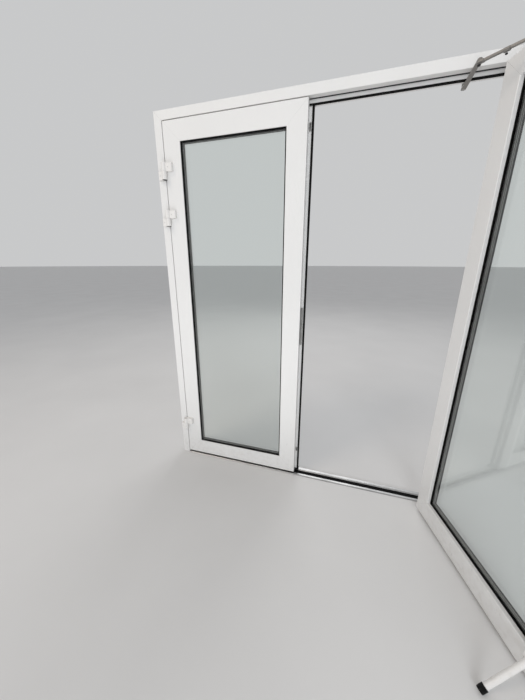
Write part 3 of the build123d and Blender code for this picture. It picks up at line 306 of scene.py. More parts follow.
def turned(profile, start, axis, count=32):
    """Profile (distance along, radius) turned about an axis.

    A point is the start, plus its distance along the axis, plus its radius times (cos t times u
    plus sin t times v), with u and v square to the axis and to each other.
    """
    axis = np.array(axis, float) / np.linalg.norm(axis)
    upright = abs(axis[2]) > 0.9
    helper = np.array([1.0, 0.0, 0.0]) if upright else np.array([0.0, 0.0, 1.0])
    u = np.cross(axis, helper)
    u /= np.linalg.norm(u)
    v = np.cross(axis, u)
    t = circle_angles(count)
    circle = np.cos(t)[:, None] * u + np.sin(t)[:, None] * v
    profile = np.array(profile, float)
    rings = (np.array(start) + profile[:, 0, None, None] * axis
             + profile[:, 1, None, None] * circle[None])
    return rings.reshape(-1, 3), tube_faces(len(profile), count)


def circle_section(radius, w, y, count=14):
    """Circle of the given radius about (w, y)."""
    t = circle_angles(count)
    return np.stack([w + radius * np.cos(t), y + radius * np.sin(t)], axis=-1)


def swing_open(points):
    """Points drawn on the left leaf, mirrored to the right one and turned about its hinge.

    x becomes -x, and the point is then turned by the opening angle about the vertical hinge line.
    """
    dx = -points[..., 0] - HINGE[0]
    dy = points[..., 1] - HINGE[1]
    c, s = math.cos(OPEN_ANGLE), math.sin(OPEN_ANGLE)
    return np.stack([HINGE[0] + c * dx - s * dy, HINGE[1] + s * dx + c * dy, points[..., 2]],
                    axis=-1)


def on_leaf(shells, leaf):
    """Shells drawn on the left leaf, put on the leaf asked for."""
    if leaf == "passive":
        return shells
    return [(swing_open(points), faces) for points, faces in shells]


# Materials

def shader(name, colour, roughness, metallic=0.0):
    """New material with a principled shader; returns it with its tree and that shader."""
    material = bpy.data.materials.new(name)
    material.use_nodes = True
    tree = material.node_tree
    bsdf = tree.nodes["Principled BSDF"]
    bsdf.inputs["Base Color"].default_value = (*colour, 1.0)
    bsdf.inputs["Roughness"].default_value = roughness
    bsdf.inputs["Metallic"].default_value = metallic
    material.diffuse_color = (*colour, 1.0)
    return material, tree, bsdf


def noise(tree, scale, detail, stretch=(1.0, 1.0, 1.0)):
    """Noise on the piece's own coordinates, stretched along its axes."""
    where = tree.nodes.new("ShaderNodeTexCoord")
    mapping = tree.nodes.new("ShaderNodeMapping")
    mapping.inputs["Scale"].default_value = stretch
    texture = tree.nodes.new("ShaderNodeTexNoise")
    texture.inputs["Scale"].default_value = scale
    texture.inputs["Detail"].default_value = detail
    tree.links.new(where.outputs["Object"], mapping.inputs["Vector"])
    tree.links.new(mapping.outputs["Vector"], texture.inputs["Vector"])
    return texture.outputs["Fac"]


def near_floor(tree, height):
    """One at the floor, falling to nothing at a height."""
    where = tree.nodes.new("ShaderNodeTexCoord")
    split = tree.nodes.new("ShaderNodeSeparateXYZ")
    fade = tree.nodes.new("ShaderNodeMapRange")
    fade.inputs["From Min"].default_value = height
    fade.inputs["From Max"].default_value = 0.0
    tree.links.new(where.outputs["Object"], split.inputs["Vector"])
    tree.links.new(split.outputs["Z"], fade.inputs["Value"])
    return fade.outputs["Result"]


def ramp(tree, source, between, colours):
    """Colour that runs from the first to the second while the source runs between two places."""
    node = tree.nodes.new("ShaderNodeValToRGB")
    for element, place, colour in zip(node.color_ramp.elements, between, colours):
        element.position = place
        element.color = (*colour, 1.0)
    tree.links.new(source, node.inputs["Fac"])
    return node.outputs["Color"]


def product(tree, first, second):
    """Product of a socket and another socket or a number."""
    node = tree.nodes.new("ShaderNodeMath")
    node.operation = "MULTIPLY"
    tree.links.new(first, node.inputs[0])
    if isinstance(second, float):
        node.inputs[1].default_value = second
    else:
        tree.links.new(second, node.inputs[1])
    return node.outputs["Value"]


def towards(tree, factor, base, colour):
    """Base colour socket blended towards a colour by a factor."""
    node = tree.nodes.new("ShaderNodeMix")
    node.data_type = "RGBA"
    sockets = [socket for socket in node.inputs if socket.type == "RGBA"]
    tree.links.new(factor, node.inputs[0])
    tree.links.new(base, sockets[0])
    sockets[1].default_value = (*colour, 1.0)
    return next(socket for socket in node.outputs if socket.type == "RGBA")


def shade(colour, factor, lift=0.0):
    """Colour made darker or lighter by a factor and lifted by an amount."""
    return tuple(min(1.0, value * factor + lift) for value in colour)


def colour_from(tree, bsdf, source):
    """Base colour taken from a socket."""
    tree.links.new(source, bsdf.inputs["Base Color"])


def gloss_from(tree, bsdf, source, low, high):
    """Roughness that runs from low to high as a source runs from 0 to 1."""
    node = tree.nodes.new("ShaderNodeMapRange")
    node.inputs["To Min"].default_value = low
    node.inputs["To Max"].default_value = high
    tree.links.new(source, node.inputs["Value"])
    tree.links.new(node.outputs["Result"], bsdf.inputs["Roughness"])


def bump_from(tree, bsdf, source, strength, distance):
    """Bump on the shader's normal, with its distance in metres."""
    node = tree.nodes.new("ShaderNodeBump")
    node.inputs["Strength"].default_value = strength
    node.inputs["Distance"].default_value = distance
    tree.links.new(source, node.inputs["Height"])
    tree.links.new(node.outputs["Normal"], bsdf.inputs["Normal"])


# Stretches for noise that runs along one axis, and the two colours of a mask
ALONG_X = (0.02, 1.0, 1.0)
ALONG_Z = (1.0, 1.0, 0.03)
MASK = ((0.0, 0.0, 0.0), (1.0, 1.0, 1.0))


def powder_coat(name, colour, roughness):
    """Satin powder coat: orange peel, faint shade changes, scuffs and grime near the floor."""
    grime_height, grime_amount, grime_tint = 0.22, 0.28, (0.60, 0.56, 0.50)
    scuff_height, scuff_amount, scuff_dark = 0.90, 0.20, 0.45
    material, tree, bsdf = shader(name, colour, roughness)
    clouds = noise(tree, scale=2.2, detail=4.0, stretch=(1.0, 1.0, 0.5))
    specks = noise(tree, scale=38.0, detail=6.0)
    scratches = noise(tree, scale=90.0, detail=8.0, stretch=(1.0, 1.0, 0.22))
    patches = noise(tree, scale=14.0, detail=3.0)
    peel = noise(tree, scale=1400.0, detail=2.0)
    dark, pale = shade(colour, 0.965), shade(colour, 1.015)
    cloudy = ramp(tree, clouds, between=(0.32, 0.68), colours=(dark, pale))
    speckled = ramp(tree, specks, between=(0.46, 0.74), colours=MASK)
    grime = product(tree, product(tree, near_floor(tree, grime_height), speckled), grime_amount)
    dusty = towards(tree, grime, cloudy, tuple(c * tint for c, tint in zip(colour, grime_tint)))
    scratched = ramp(tree, scratches, between=(0.655, 0.70), colours=MASK)
    worn = product(tree, product(tree, near_floor(tree, scuff_height), scratched), scuff_amount)
    colour_from(tree, bsdf, towards(tree, worn, dusty, shade(colour, scuff_dark)))
    gloss_from(tree, bsdf, patches, low=roughness - 0.05, high=roughness + 0.07)
    bump_from(tree, bsdf, peel, strength=0.05, distance=0.0002)
    return material


def seal_rubber(name, colour, roughness):
    """Extruded rubber: fine grain, a little dusty where it is matt."""
    material, tree, bsdf = shader(name, colour, roughness)
    bsdf.inputs["Specular IOR Level"].default_value = 0.12
    dust = noise(tree, scale=26.0, detail=6.0)
    patches = noise(tree, scale=60.0, detail=3.0)
    grain = noise(tree, scale=900.0, detail=2.0)
    dusty = shade(colour, 2.0, lift=0.002)
    colour_from(tree, bsdf, ramp(tree, dust, between=(0.50, 0.90), colours=(colour, dusty)))
    gloss_from(tree, bsdf, patches, low=roughness - 0.12, high=roughness + 0.15)
    bump_from(tree, bsdf, grain, strength=0.10, distance=0.0003)
    return material


def moulded_plastic(name, colour, roughness):
    """Injection moulded plastic with a fine spark texture."""
    material, tree, bsdf = shader(name, colour, roughness)
    clouds = noise(tree, scale=9.0, detail=3.0)
    patches = noise(tree, scale=40.0, detail=3.0)
    spark = noise(tree, scale=2200.0, detail=1.0)
    pale = shade(colour, 1.25, lift=0.003)
    colour_from(tree, bsdf, ramp(tree, clouds, between=(0.35, 0.75), colours=(colour, pale)))
    gloss_from(tree, bsdf, patches, low=roughness - 0.06, high=roughness + 0.10)
    bump_from(tree, bsdf, spark, strength=0.12, distance=0.0001)
    return material


def drawn_metal(name, colour, roughness, stretch, scuffs):
    """Metal with fine drawing lines along one axis and worn patches."""
    material, tree, bsdf = shader(name, colour, roughness, metallic=1.0)
    lines = noise(tree, scale=260.0, detail=3.0, stretch=stretch)
    wear = noise(tree, scale=7.0, detail=5.0)
    worn = shade(colour, 1 - scuffs)
    colour_from(tree, bsdf, ramp(tree, wear, between=(0.38, 0.70), colours=(colour, worn)))
    gloss_from(tree, bsdf, lines, low=roughness - 0.07, high=roughness + 0.12)
    bump_from(tree, bsdf, lines, strength=0.12, distance=0.0002)
    return material


def stoved_enamel(name, colour, roughness):
    """Silver-grey enamel with a metallic fleck."""
    material, tree, bsdf = shader(name, colour, roughness, metallic=0.35)
    fleck = noise(tree, scale=1800.0, detail=1.0)
    patches = noise(tree, scale=22.0, detail=3.0)
    peel = noise(tree, scale=1200.0, detail=2.0)
    dark, pale = shade(colour, 0.86), shade(colour, 1.18)
    colour_from(tree, bsdf, ramp(tree, fleck, between=(0.35, 0.65), colours=(dark, pale)))
    gloss_from(tree, bsdf, patches, low=roughness - 0.06, high=roughness + 0.08)
    bump_from(tree, bsdf, peel, strength=0.06, distance=0.0002)
    return material


def float_glass(name, colour):
    """Clear float glass with a faint green tint and the slightest film of dust."""
    material, tree, bsdf = shader(name, colour, roughness=0.0)
    bsdf.inputs["Transmission Weight"].default_value = 1.0
    bsdf.inputs["IOR"].default_value = 1.5
    gloss_from(tree, bsdf, noise(tree, scale=5.0, detail=6.0), low=0.0, high=0.02)
    return material


def brush_pile(name, colour):
    """Dense black pile, streaked along its hairs."""
    material, tree, bsdf = shader(name, colour, roughness=0.9)
    hairs = noise(tree, scale=700.0, detail=3.0, stretch=(1.0, 1.0, 0.06))
    dusty = shade(colour, 1.0, lift=0.04)
    colour_from(tree, bsdf, ramp(tree, hairs, between=(0.35, 0.75), colours=(colour, dusty)))
    bump_from(tree, bsdf, hairs, strength=0.5, distance=0.0006)
    return material


def floor_paint(name, colour):
    """Matt paint with faint clouds."""
    material, tree, bsdf = shader(name, colour, roughness=0.8)
    clouds = noise(tree, scale=1.2, detail=4.0)
    dark, pale = shade(colour, 0.98), shade(colour, 1.03)
    colour_from(tree, bsdf, ramp(tree, clouds, between=(0.3, 0.7), colours=(dark, pale)))
    return material


MATERIALS = {}


def finish(name):
    """Finish by name, made once."""
    if name in MATERIALS:
        return MATERIALS[name]
    colours = bpy.context.scene.door_colours
    white, fitting_white = tuple(colours.white), tuple(colours.fitting_white)
    rubber, plastic = tuple(colours.rubber), tuple(colours.plastic)
    sill, steel, spacer = tuple(colours.sill), tuple(colours.steel), tuple(colours.spacer)
    makers = {
        "white_coat": lambda: powder_coat("white_powder_coat", white, roughness=0.36),
        "white_fitting": lambda: powder_coat("white_fitting_coat", fitting_white, roughness=0.26),
        "seam": lambda: moulded_plastic("mitre_seam_shadow", shade(white, 0.5), roughness=0.7),
        "rubber": lambda: seal_rubber("black_seal_rubber", rubber, roughness=0.70),
        "foot_rubber": lambda: seal_rubber("stop_foot_rubber", rubber, roughness=0.40),
        "plastic": lambda: moulded_plastic("black_moulded_plastic", plastic, roughness=0.45),
        "strip": lambda: moulded_plastic("thermal_strip_plastic", plastic, roughness=0.6),
        "sealant": lambda: moulded_plastic("pane_sealant", shade(plastic, 0.7), roughness=0.7),
        "sill": lambda: drawn_metal("sill_aluminium", sill, roughness=0.34, stretch=ALONG_X,
                                    scuffs=0.30),
        "mill": lambda: drawn_metal("mill_aluminium", shade(steel, 1.15), roughness=0.40,
                                    stretch=ALONG_Z, scuffs=0.20),
        "lever": lambda: drawn_metal("brushed_aluminium", shade(steel, 1.1), roughness=0.30,
                                     stretch=ALONG_Z, scuffs=0.15),
        "steel": lambda: drawn_metal("brushed_steel", steel, roughness=0.32, stretch=ALONG_Z,
                                     scuffs=0.25),
        "pin": lambda: drawn_metal("ground_steel", steel, roughness=0.20, stretch=ALONG_Z,
                                   scuffs=0.10),
        "closer": lambda: stoved_enamel("closer_enamel", tuple(colours.closer), roughness=0.40),
        "spacer": lambda: drawn_metal("spacer_bar", spacer, roughness=0.42, stretch=ALONG_Z,
                                      scuffs=0.10),
        "glass": lambda: float_glass("float_glass", tuple(colours.glass)),
        "pile": lambda: brush_pile("brush_pile", plastic),
    }
    MATERIALS[name] = makers[name]()
    return MATERIALS[name]


def dress(finish_name, *node_names):
    """Give CAD nodes a finish."""
    for node_name in node_names:
        node = NODES[node_name]
        if not node.material_slots:
            node.data.materials.append(finish(finish_name))
        for slot in node.material_slots:
            slot.material = finish(finish_name)


# Fine parts

def screw_head(place, out, radius):
    """Countersunk head with a deep recess, turned about its axis.

    The axis out points away from the plate that the screw sits in.
    """
    return turned(radius * np.array(SCREW_HEAD), place, out, HEAD_SIDES)


def bolt_head(place, out, radius, height):
    """Button head: a quarter round rising from a short rim, with a socket in its top.

    The dome rises with the sine of its angle while its radius shrinks with the cosine.
    """
    sunk, rim, top = 0.3, 0.3, 0.45
    socket_floor, socket_radius = 0.35, 0.40
    t = np.linspace(0, math.pi / 2, DOME_STEPS)
    dome = np.stack([height * (rim + (1 - rim) * np.sin(t)),
                     radius * (top + (1 - top) * np.cos(t))], axis=-1)
    profile = np.vstack([[(-sunk * height, radius)], dome,
                         [(socket_floor * height, socket_radius * radius),
                          (socket_floor * height, POLE * radius)]])
    return turned(profile, place, out, HEAD_SIDES)


def lip_shells(leaf):
    """Rounded lips of the front and rear glazing rubbers, round the glass opening."""
    sizes = bpy.context.scene.door_sizes
    radius = sizes.lip_radius
    sunk = 0.8 * radius
    w = (PANES_LOW[0] - BEADS_LOW[0]) + GLASS_BITE + sizes.lip_inset
    edges = (BEADS_LOW[0], BEADS_HIGH[0], BEADS_LOW[2], BEADS_HIGH[2])
    shells = [rectangle_loop(circle_section(radius, w, y), *edges)
              for y in (PANES_LOW[1] - sunk, PANES_HIGH[1] + sunk)]
    return on_leaf(shells, leaf)


def sealant_shells(leaf):
    """Black lines of sealant where the spacer bar meets the two panes."""
    width = bpy.context.scene.door_sizes.sealant_width
    gap, slope, sunk, proud = 0.05 * MM, 0.6 * MM, 1.0 * MM, 0.4 * MM
    w0, w1 = SPACER_WIDE - sunk, SPACER_WIDE + proud
    shells = []
    for pane, sign in ((PANES_LOW[1] + PANE_THICK, 1), (PANES_HIGH[1] - PANE_THICK, -1)):
        y0, y1 = pane + sign * gap, pane + sign * width
        section = np.array([(w0, y0), (w1, y0), (w1, y1 - sign * slope), (w0, y1)])
        shells.append(rectangle_loop(section, *SPACER_EDGES))
    return on_leaf(shells, leaf)


def spacer_rib_highlight_shells(leaf):
    """Two rolled ribs on the face that the spacer bar turns to the glass's middle; their pale metal
    on the dark spacer is partly real ribs and partly painted highlight lines.
    """
    places, crest = (0.34, 0.66), 0.6
    half, sunk, proud = 0.6 * MM, 0.4 * MM, 0.5 * MM
    w0, w1 = SPACER_WIDE - sunk, SPACER_WIDE + proud
    shells = []
    for share in places:
        y = SPACER_LOW[1] + share * (SPACER_HIGH[1] - SPACER_LOW[1])
        section = np.array([(w0, y - half), (w1, y - crest * half), (w1, y + crest * half),
                            (w0, y + half)])
        shells.append(rectangle_loop(section, *SPACER_EDGES))
    return on_leaf(shells, leaf)


def stop_seal_section():
    """Seal on the stop's nose: a short foot, a rounded finger towards the leaf and a lip below.

    The finger's tip is half a circle, and the lip runs back under the nose.
    """
    finger, reach, inset = 2.0 * MM, 7.0 * MM, 1.2 * MM
    foot_wide, foot_high, neck_high = 4.8 * MM, 1.2 * MM, 1.6 * MM
    lip_thick, lip_front, lip_back = 2.0 * MM, 1.0 * MM, 6.4 * MM
    bevel_w, bevel_y = 1.2 * MM, 1.0 * MM
    nose = FACE_Y + STOP_FRONT
    middle = STOP_W - inset
    t = np.linspace(0, math.pi, ROUND_STEPS)
    round_tip = np.stack([middle - finger * np.cos(t), nose - reach - finger * np.sin(t)], axis=-1)
    before = [(middle - foot_wide, nose), (middle - foot_wide, nose - foot_high),
              (middle - finger, nose - neck_high)]
    after = [(STOP_W + lip_thick, nose - lip_front),
             (STOP_W + lip_thick, nose + lip_back - bevel_y),
             (STOP_W + lip_thick - bevel_w, nose + lip_back), (STOP_W, nose + lip_back),
             (STOP_W, nose)]
    return np.vstack([before, round_tip, after])


def sill_seal_shell():
    """Black rubber on the slope of the sill's bar, a skin of even thickness between the jambs."""
    skin, sunk, end, cover = 0.7 * MM, 0.2 * MM, 1.0 * MM, 0.35
    low, high = corner_box("threshold_seal")
    foot, ridge = np.array(SILL_FLOOR), np.array(SILL_RIDGE)
    along = (ridge - foot) / np.linalg.norm(ridge - foot)
    out = np.array([-along[1], along[0]])
    upper = foot + cover * (ridge - foot)
    section = np.array([foot - sunk * out, foot + skin * out, upper + skin * out,
                        upper + end * along - sunk * out])
    rings = [np.column_stack([np.full(len(section), x), FACE_Y + section[:, 0], section[:, 1]])
             for x in (low[0], high[0])]
    return np.vstack(rings), tube_faces(len(rings), len(section))


def seam_shells(corners, faces, length):
    """Joint lines of mitred corners, each from just inside its corner inwards at 45 degrees.

    corners holds the x, the z and the two inward signs of each corner, and faces holds the depth,
    the outward sign and the inset of each face that the lines are drawn on.
    """
    width = bpy.context.scene.door_sizes.seam_width
    shells = []
    for x, z, inward_x, inward_z in corners:
        inwards = np.array([inward_x, 0.0, inward_z])
        for y, out, inset in faces:
            corner = np.array([x, y, z])
            start = corner + (inset + width) * inwards
            shells.append(flat_strip(start, corner + length * inwards, np.array([0.0, out, 0.0]),
                                     width, SEAM_PROUD, SEAM_SUNK))
    return shells


def frame_seam_shells():
    """Joint lines of the frame's two mitred corners, on its front and rear face."""
    top = FRAME_HIGH[2]
    corners = ((FRAME_LOW[0], top, 1, -1), (FRAME_HIGH[0], top, -1, -1))
    return seam_shells(corners, ((FACE_Y, -1.0, 0.0), (BACK_Y, 1.0, 0.0)), FRAME_FACE)


def leaf_seam_shells(leaf):
    """Joint lines of a leaf's four mitred corners, on its front and rear face."""
    x0, x1 = STILE_LOW[0], MEETING_EDGE
    z0, z1 = STILE_LOW[2], STILE_HIGH[2]
    corners = ((x0, z0, 1, 1), (x1, z0, -1, 1), (x1, z1, -1, -1), (x0, z1, 1, -1))
    faces = ((FACE_Y, -1.0, 0.0), (BACK_Y, 1.0, REAR_INSET))
    return on_leaf(seam_shells(corners, faces, LEAF_FACE), leaf)


def pile_shells(leaf):
    """Tufted pile of the floor brush: two wavy faces that meet in a ragged lower edge.

    The lower edge's height is a sum of three sines of the place along the leaf, and the faces lean
    in and out with the tufts' sine and a slower one, so that neighbouring tufts part.
    """
    pitch = bpy.context.scene.door_sizes.pile_pitch
    end, root, longest, thick = 1.0 * MM, 0.5 * MM, 2.0 * MM, 2.6 * MM
    uneven, tuft, tuft_lean, sway = 0.35 * MM, 0.25 * MM, 0.5 * MM, 0.3 * MM
    uneven_turns, sway_turns = (911.0, 1733.0), 317.0
    swell, taper = 1.1, 0.9
    low, high = corner_box("passive_bottom_brush")
    length = high[0] - low[0] - 2 * end
    count = int(length / pitch) * 2
    t = np.linspace(0, 1, count)
    x = low[0] + end + t * length
    wave = np.sin(2 * math.pi * t * length / pitch)
    ragged = uneven * (sum(np.sin(t * turns) for turns in uneven_turns) + 1.0) + tuft * wave
    middle = (low[1] + high[1]) / 2
    top = np.full(count, high[2] - root)
    bottom = low[2] + np.clip(ragged, 0, longest)
    waist = (top + bottom) / 2
    lean = tuft_lean * wave + sway * np.sin(t * sway_turns)
    straight = np.zeros(count)
    rows = [(middle - thick + straight, top), (middle - thick * swell + lean, waist),
            (middle - thick * taper + lean, bottom), (middle + thick * taper + lean, bottom),
            (middle + thick * swell + lean, waist), (middle + thick + straight, top)]
    grid = np.stack([np.stack([x, y, z], axis=-1) for y, z in rows], axis=1)
    return on_leaf([(grid.reshape(-1, 3), tube_faces(count, len(rows)))], leaf)


def underside_shade_disc_shells(splits):
    """Black discs under the frame's hinge halves, turned, with a bevelled lower rim: painted shade
    for the dark undersides of the knuckles.
    """
    thick, sunk, bevel, bore = 1.6 * MM, 0.3 * MM, 0.4 * MM, 0.5 * MM
    profile = [(-thick, bore), (-thick, SHADE_DISC_RADIUS - bevel), (bevel - thick, SHADE_DISC_RADIUS),
               (sunk, SHADE_DISC_RADIUS), (sunk, bore)]
    return [turned(profile, (side * HINGE[0], HINGE[1], z - HINGE_HALF), (0, 0, 1))
            for side in (-1, 1) for z in splits]


def foot_rib_shell(count):
    """Rounded ribs round the stop's rubber foot, turned about the stop's own line.

    Each rib's radius rises and falls with a sine over most of its pitch.
    """
    sunk, rise, crest = 1.0 * MM, 0.55 * MM, 0.8
    ribbed, start_share, sides = 0.62, 0.46, 40
    low, high = corner_box("kick_stop_foot")
    middle = (low + high) / 2
    pivot = joint_place("kick_stop_pivot")
    along = (middle - pivot) / np.linalg.norm(middle - pivot)
    pitch = ribbed * FOOT_LENGTH / count
    t = np.linspace(0, math.pi, ROUND_STEPS)
    profile = [(0.0, FOOT_RADIUS - sunk)]
    for index in range(count):
        place = index * pitch + crest * pitch * t / math.pi
        profile += list(zip(place, FOOT_RADIUS + rise * np.sin(t)))
    profile.append((count * pitch, FOOT_RADIUS - sunk))
    return turned(profile, middle - start_share * FOOT_LENGTH * along, along, sides)


class DOOR_OT_profiles(bpy.types.Operator):
    """Coat the aluminium profiles of the frame and of both leaves"""
    bl_idname = "door.profiles"
    bl_label = "Profiles"

    def execute(self, context):
        white = ["left_jamb_profile", "head_profile", "right_jamb_profile", "astragal",
                 "passive_meeting_stile", "active_lock_stile"]
        for leaf in LEAVES:
            white += [f"{leaf}_hinge_stile", f"{leaf}_top_rail", f"{leaf}_bottom_rail",
                      f"{leaf}_glazing_beads"]
        dress("white_coat", *white)
        dress("strip", "frame_thermal_strips", "passive_thermal_strips", "active_thermal_strips")
        dress("mill", "frame_corner_cleats", "passive_corner_cleats", "active_corner_cleats")
        add_piece("frame_mitre_seams", frame_seam_shells(), "frame", "seam")
        for leaf in LEAVES:
            add_piece(f"{leaf}_mitre_seams", leaf_seam_shells(leaf), f"{leaf}_leaf",
                      "seam")
        return {"FINISHED"}


class DOOR_OT_glazing(bpy.types.Operator):
    """Panes, spacer bars with their sealant, and the lips of the glazing rubbers"""
    bl_idname = "door.glazing"
    bl_label = "Glazing"

    def execute(self, context):
        dress("glass", "passive_glass_panes", "active_glass_panes")
        dress("spacer", "passive_glass_spacer", "active_glass_spacer")
        dress("rubber", "passive_glazing_rubbers", "active_glazing_rubbers")
        for leaf in LEAVES:
            body = f"{leaf}_leaf"
            add_piece(f"{leaf}_rubber_lips", lip_shells(leaf), body, "rubber")
            add_piece(f"{leaf}_spacer_sealant", sealant_shells(leaf), body,
                      "sealant")
            # Pale ribs on the dark spacer: partly real ribs, partly painted highlight lines
            add_piece(f"{leaf}_spacer_highlight_ribs", spacer_rib_highlight_shells(leaf), body,
                      "mill")
        return {"FINISHED"}


class DOOR_OT_seals(bpy.types.Operator):
    """Stop seals, meeting seal, sill rubber and floor brushes"""
    bl_idname = "door.seals"
    bl_label = "Seals"

    def execute(self, context):
        dress("rubber", "frame_stop_gaskets", "astragal_gasket", "threshold_seal")
        dress("plastic", "astragal_end_caps", "passive_bottom_brush", "active_bottom_brush")
        dress("sill", "threshold")
        path = (FRAME_LOW[0], FRAME_HIGH[0], SILL_RIDGE[1], FRAME_HIGH[2])
        seal = add_piece("frame_stop_seal", [three_sides(stop_seal_section(), *path)], "frame",
                         "rubber", smooth=40.0)
        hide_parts("frame_stop_gaskets")
        add_piece("sill_slope_seal", [sill_seal_shell()], "frame", "rubber")
        for leaf in LEAVES:
            add_piece(f"{leaf}_brush_pile", pile_shells(leaf), f"{leaf}_leaf",
                      "pile", smooth=60.0)
        return {"FINISHED"}


class DOOR_OT_hinges(bpy.types.Operator):
    """Hinge halves, pins and caps, black discs of painted shade under the frame halves, and a grub
    screw in every half
    """
    bl_idname = "door.hinges"
    bl_label = "Hinges"

    def execute(self, context):
        dress("white_fitting", "hinge_frame_halves", "passive_hinge_halves",
              "active_hinge_halves", "passive_hinge_caps", "active_hinge_caps")
        dress("pin", "hinge_pins")
        low, high = corner_box("hinge_frame_halves")
        splits = (low[2] + HINGE_HALF, high[2] - HINGE_PAIR, high[2])
        front = FACE_Y - BLOCK_OUT
        radius = GRUB_SHARE * context.scene.door_sizes.screw_radius
        out = (0.0, -1.0, 0.0)
        fixed = [screw_head((side * (HINGE[0] + HINGE_SCREW_AT), front, z - HINGE_HALF / 2), out,
                            radius) for side in (-1, 1) for z in splits]
        moving = [screw_head((-HINGE[0] + HINGE_SCREW_AT, front, z + HINGE_HALF / 2), out, radius)
                  for z in splits]
        add_piece("frame_hinge_screws", fixed, "frame", "steel")
        # Black discs under the frame halves: painted shade where the knuckles' undersides fall dark
        add_piece("frame_hinge_shade_discs", underside_shade_disc_shells(splits), "frame", "plastic")
        for leaf in LEAVES:
            add_piece(f"{leaf}_hinge_screws", on_leaf(moving, leaf), f"{leaf}_leaf",
                      "steel")
        return {"FINISHED"}


class DOOR_OT_lock(bpy.types.Operator):
    """Lock, strike, flush bolts, levers and cylinder, with the screws that hold the plates"""
    bl_idname = "door.lock"
    bl_label = "Lock and strike"

    def execute(self, context):
        dress("steel", "strike_plate", "bolt_housings", "bolt_keeps", "upper_flush_bolt",
              "lower_flush_bolt", "lock_case", "lock_faceplate", "latch_bolt", "dead_bolt")
        dress("lever", "lever_handles", "handle_roses")
        dress("pin", "lock_cylinder", "handle_spindle")
        radius = context.scene.door_sizes.screw_radius
        end = PLATE_END_RADII * radius
        low, high = corner_box("strike_plate")
        x = (low[0] + high[0]) / 2 + STRIKE_SCREW_SHIFT
        strike = [screw_head((x, high[1] - STRIKE_THICK, z), (0, -1, 0), radius)
                  for z in (low[2] + end, (low[2] + high[2]) / 2, high[2] - end)]
        add_piece("strike_screws", strike, "passive_leaf", "steel")
        low, high = corner_box("lock_faceplate")
        plate_end = end / 2 + PLATE_MARGIN
        plate = [screw_head((MEETING_EDGE, FACE_Y + SHELL_MIDDLE, z), (1, 0, 0), radius)
                 for z in (low[2] + plate_end, high[2] - plate_end)]
        add_piece("faceplate_screws", on_leaf(plate, "active"), "active_leaf", "steel")
        handle_z = joint_place("lever_pivot")[2]
        roses = [screw_head((MEETING_EDGE - BACKSET, y, middle + up * ROSE_SCREW_AT), (0, out, 0),
                            ROSE_SHARE * radius)
                 for y, out in ((FACE_Y - ROSE_THICK, -1), (BACK_Y + ROSE_THICK, 1))
                 for middle in (handle_z, handle_z - CYLINDER_DROP) for up in (-1, 1)]
        add_piece("rose_screws", on_leaf(roses, "active"), "active_leaf",
                  "steel")
        return {"FINISHED"}


class DOOR_OT_closer(bpy.types.Operator):
    """Closer body, arms and shoe, with their bolts and the body's end plates"""
    bl_idname = "door.closer"
    bl_label = "Closer"

    def execute(self, context):
        dress("closer", "closer_body", "closer_main_arm", "closer_forearm", "closer_shoe")
        dress("pin", "closer_spindle")
        self.add_arm_bolts()
        self.add_end_plates()
        return {"FINISHED"}

    def add_arm_bolts(self):
        """Screw under the main arm's hub, and the bolts at the elbow and below the clamp."""
        arm_low = corner_box("closer_main_arm")[0]
        fore_low, fore_high = corner_box("closer_forearm")
        spindle = joint_place("closer_arm_pivot")
        shoe = joint_place("closer_link_pivot")
        down = (0, 0, -1)
        hub = np.array([spindle[0], spindle[1], fore_high[2] + ARM_GAP])
        elbow = np.array([arm_low[0] + ARM_END, arm_low[1] + ARM_END, fore_low[2]])
        along = (shoe - elbow) * np.array([1.0, 1.0, 0.0])
        along /= np.linalg.norm(along)
        clamp = elbow + CLAMP_AT * along - np.array([0, 0, CLAMP_BOLT_DROP])
        bolts = [bolt_head(elbow, down, *ELBOW_BOLT), bolt_head(clamp, down, *CLAMP_BOLT)]
        add_piece("closer_hub_screw", [bolt_head(hub, down, *HUB_SCREW)], "closer_arm",
                  "pin")
        add_piece("closer_arm_bolts", bolts, "closer_link", "plastic")

    def add_end_plates(self):
        """Round plate with two valve screws at each end of the body."""
        low, high = corner_box("closer_body")
        middle = (low + high) / 2
        ends = ((low[0], -1), (high[0], 1))
        proud = END_PLATE[-1][0] * MM
        plates = [turned(MM * np.array(END_PLATE), (x, middle[1], middle[2]), (out, 0, 0))
                  for x, out in ends]
        screws = [screw_head((x + out * proud, middle[1] + y, middle[2]), (out, 0, 0),
                             VALVE_SCREW_RADIUS)
                  for x, out in ends for y in (-VALVE_SCREW_AT, VALVE_SCREW_AT)]
        add_piece("closer_end_plates", plates, "frame", "closer")
        add_piece("closer_valve_screws", screws, "frame", "steel")


class DOOR_OT_kick_stop(bpy.types.Operator):
    """Kick-down stop at the foot of the active leaf, with ribs round its rubber foot"""
    bl_idname = "door.kick_stop"
    bl_label = "Kick-down stop"

    def execute(self, context):
        dress("white_fitting", "kick_stop_bracket", "kick_stop_arm")
        dress("foot_rubber", "kick_stop_foot")
        ribs = foot_rib_shell(context.scene.door_sizes.foot_ribs)
        add_piece("kick_stop_foot_ribs", [ribs], "kick_stop", "foot_rubber",
                  smooth=50.0)
        return {"FINISHED"}


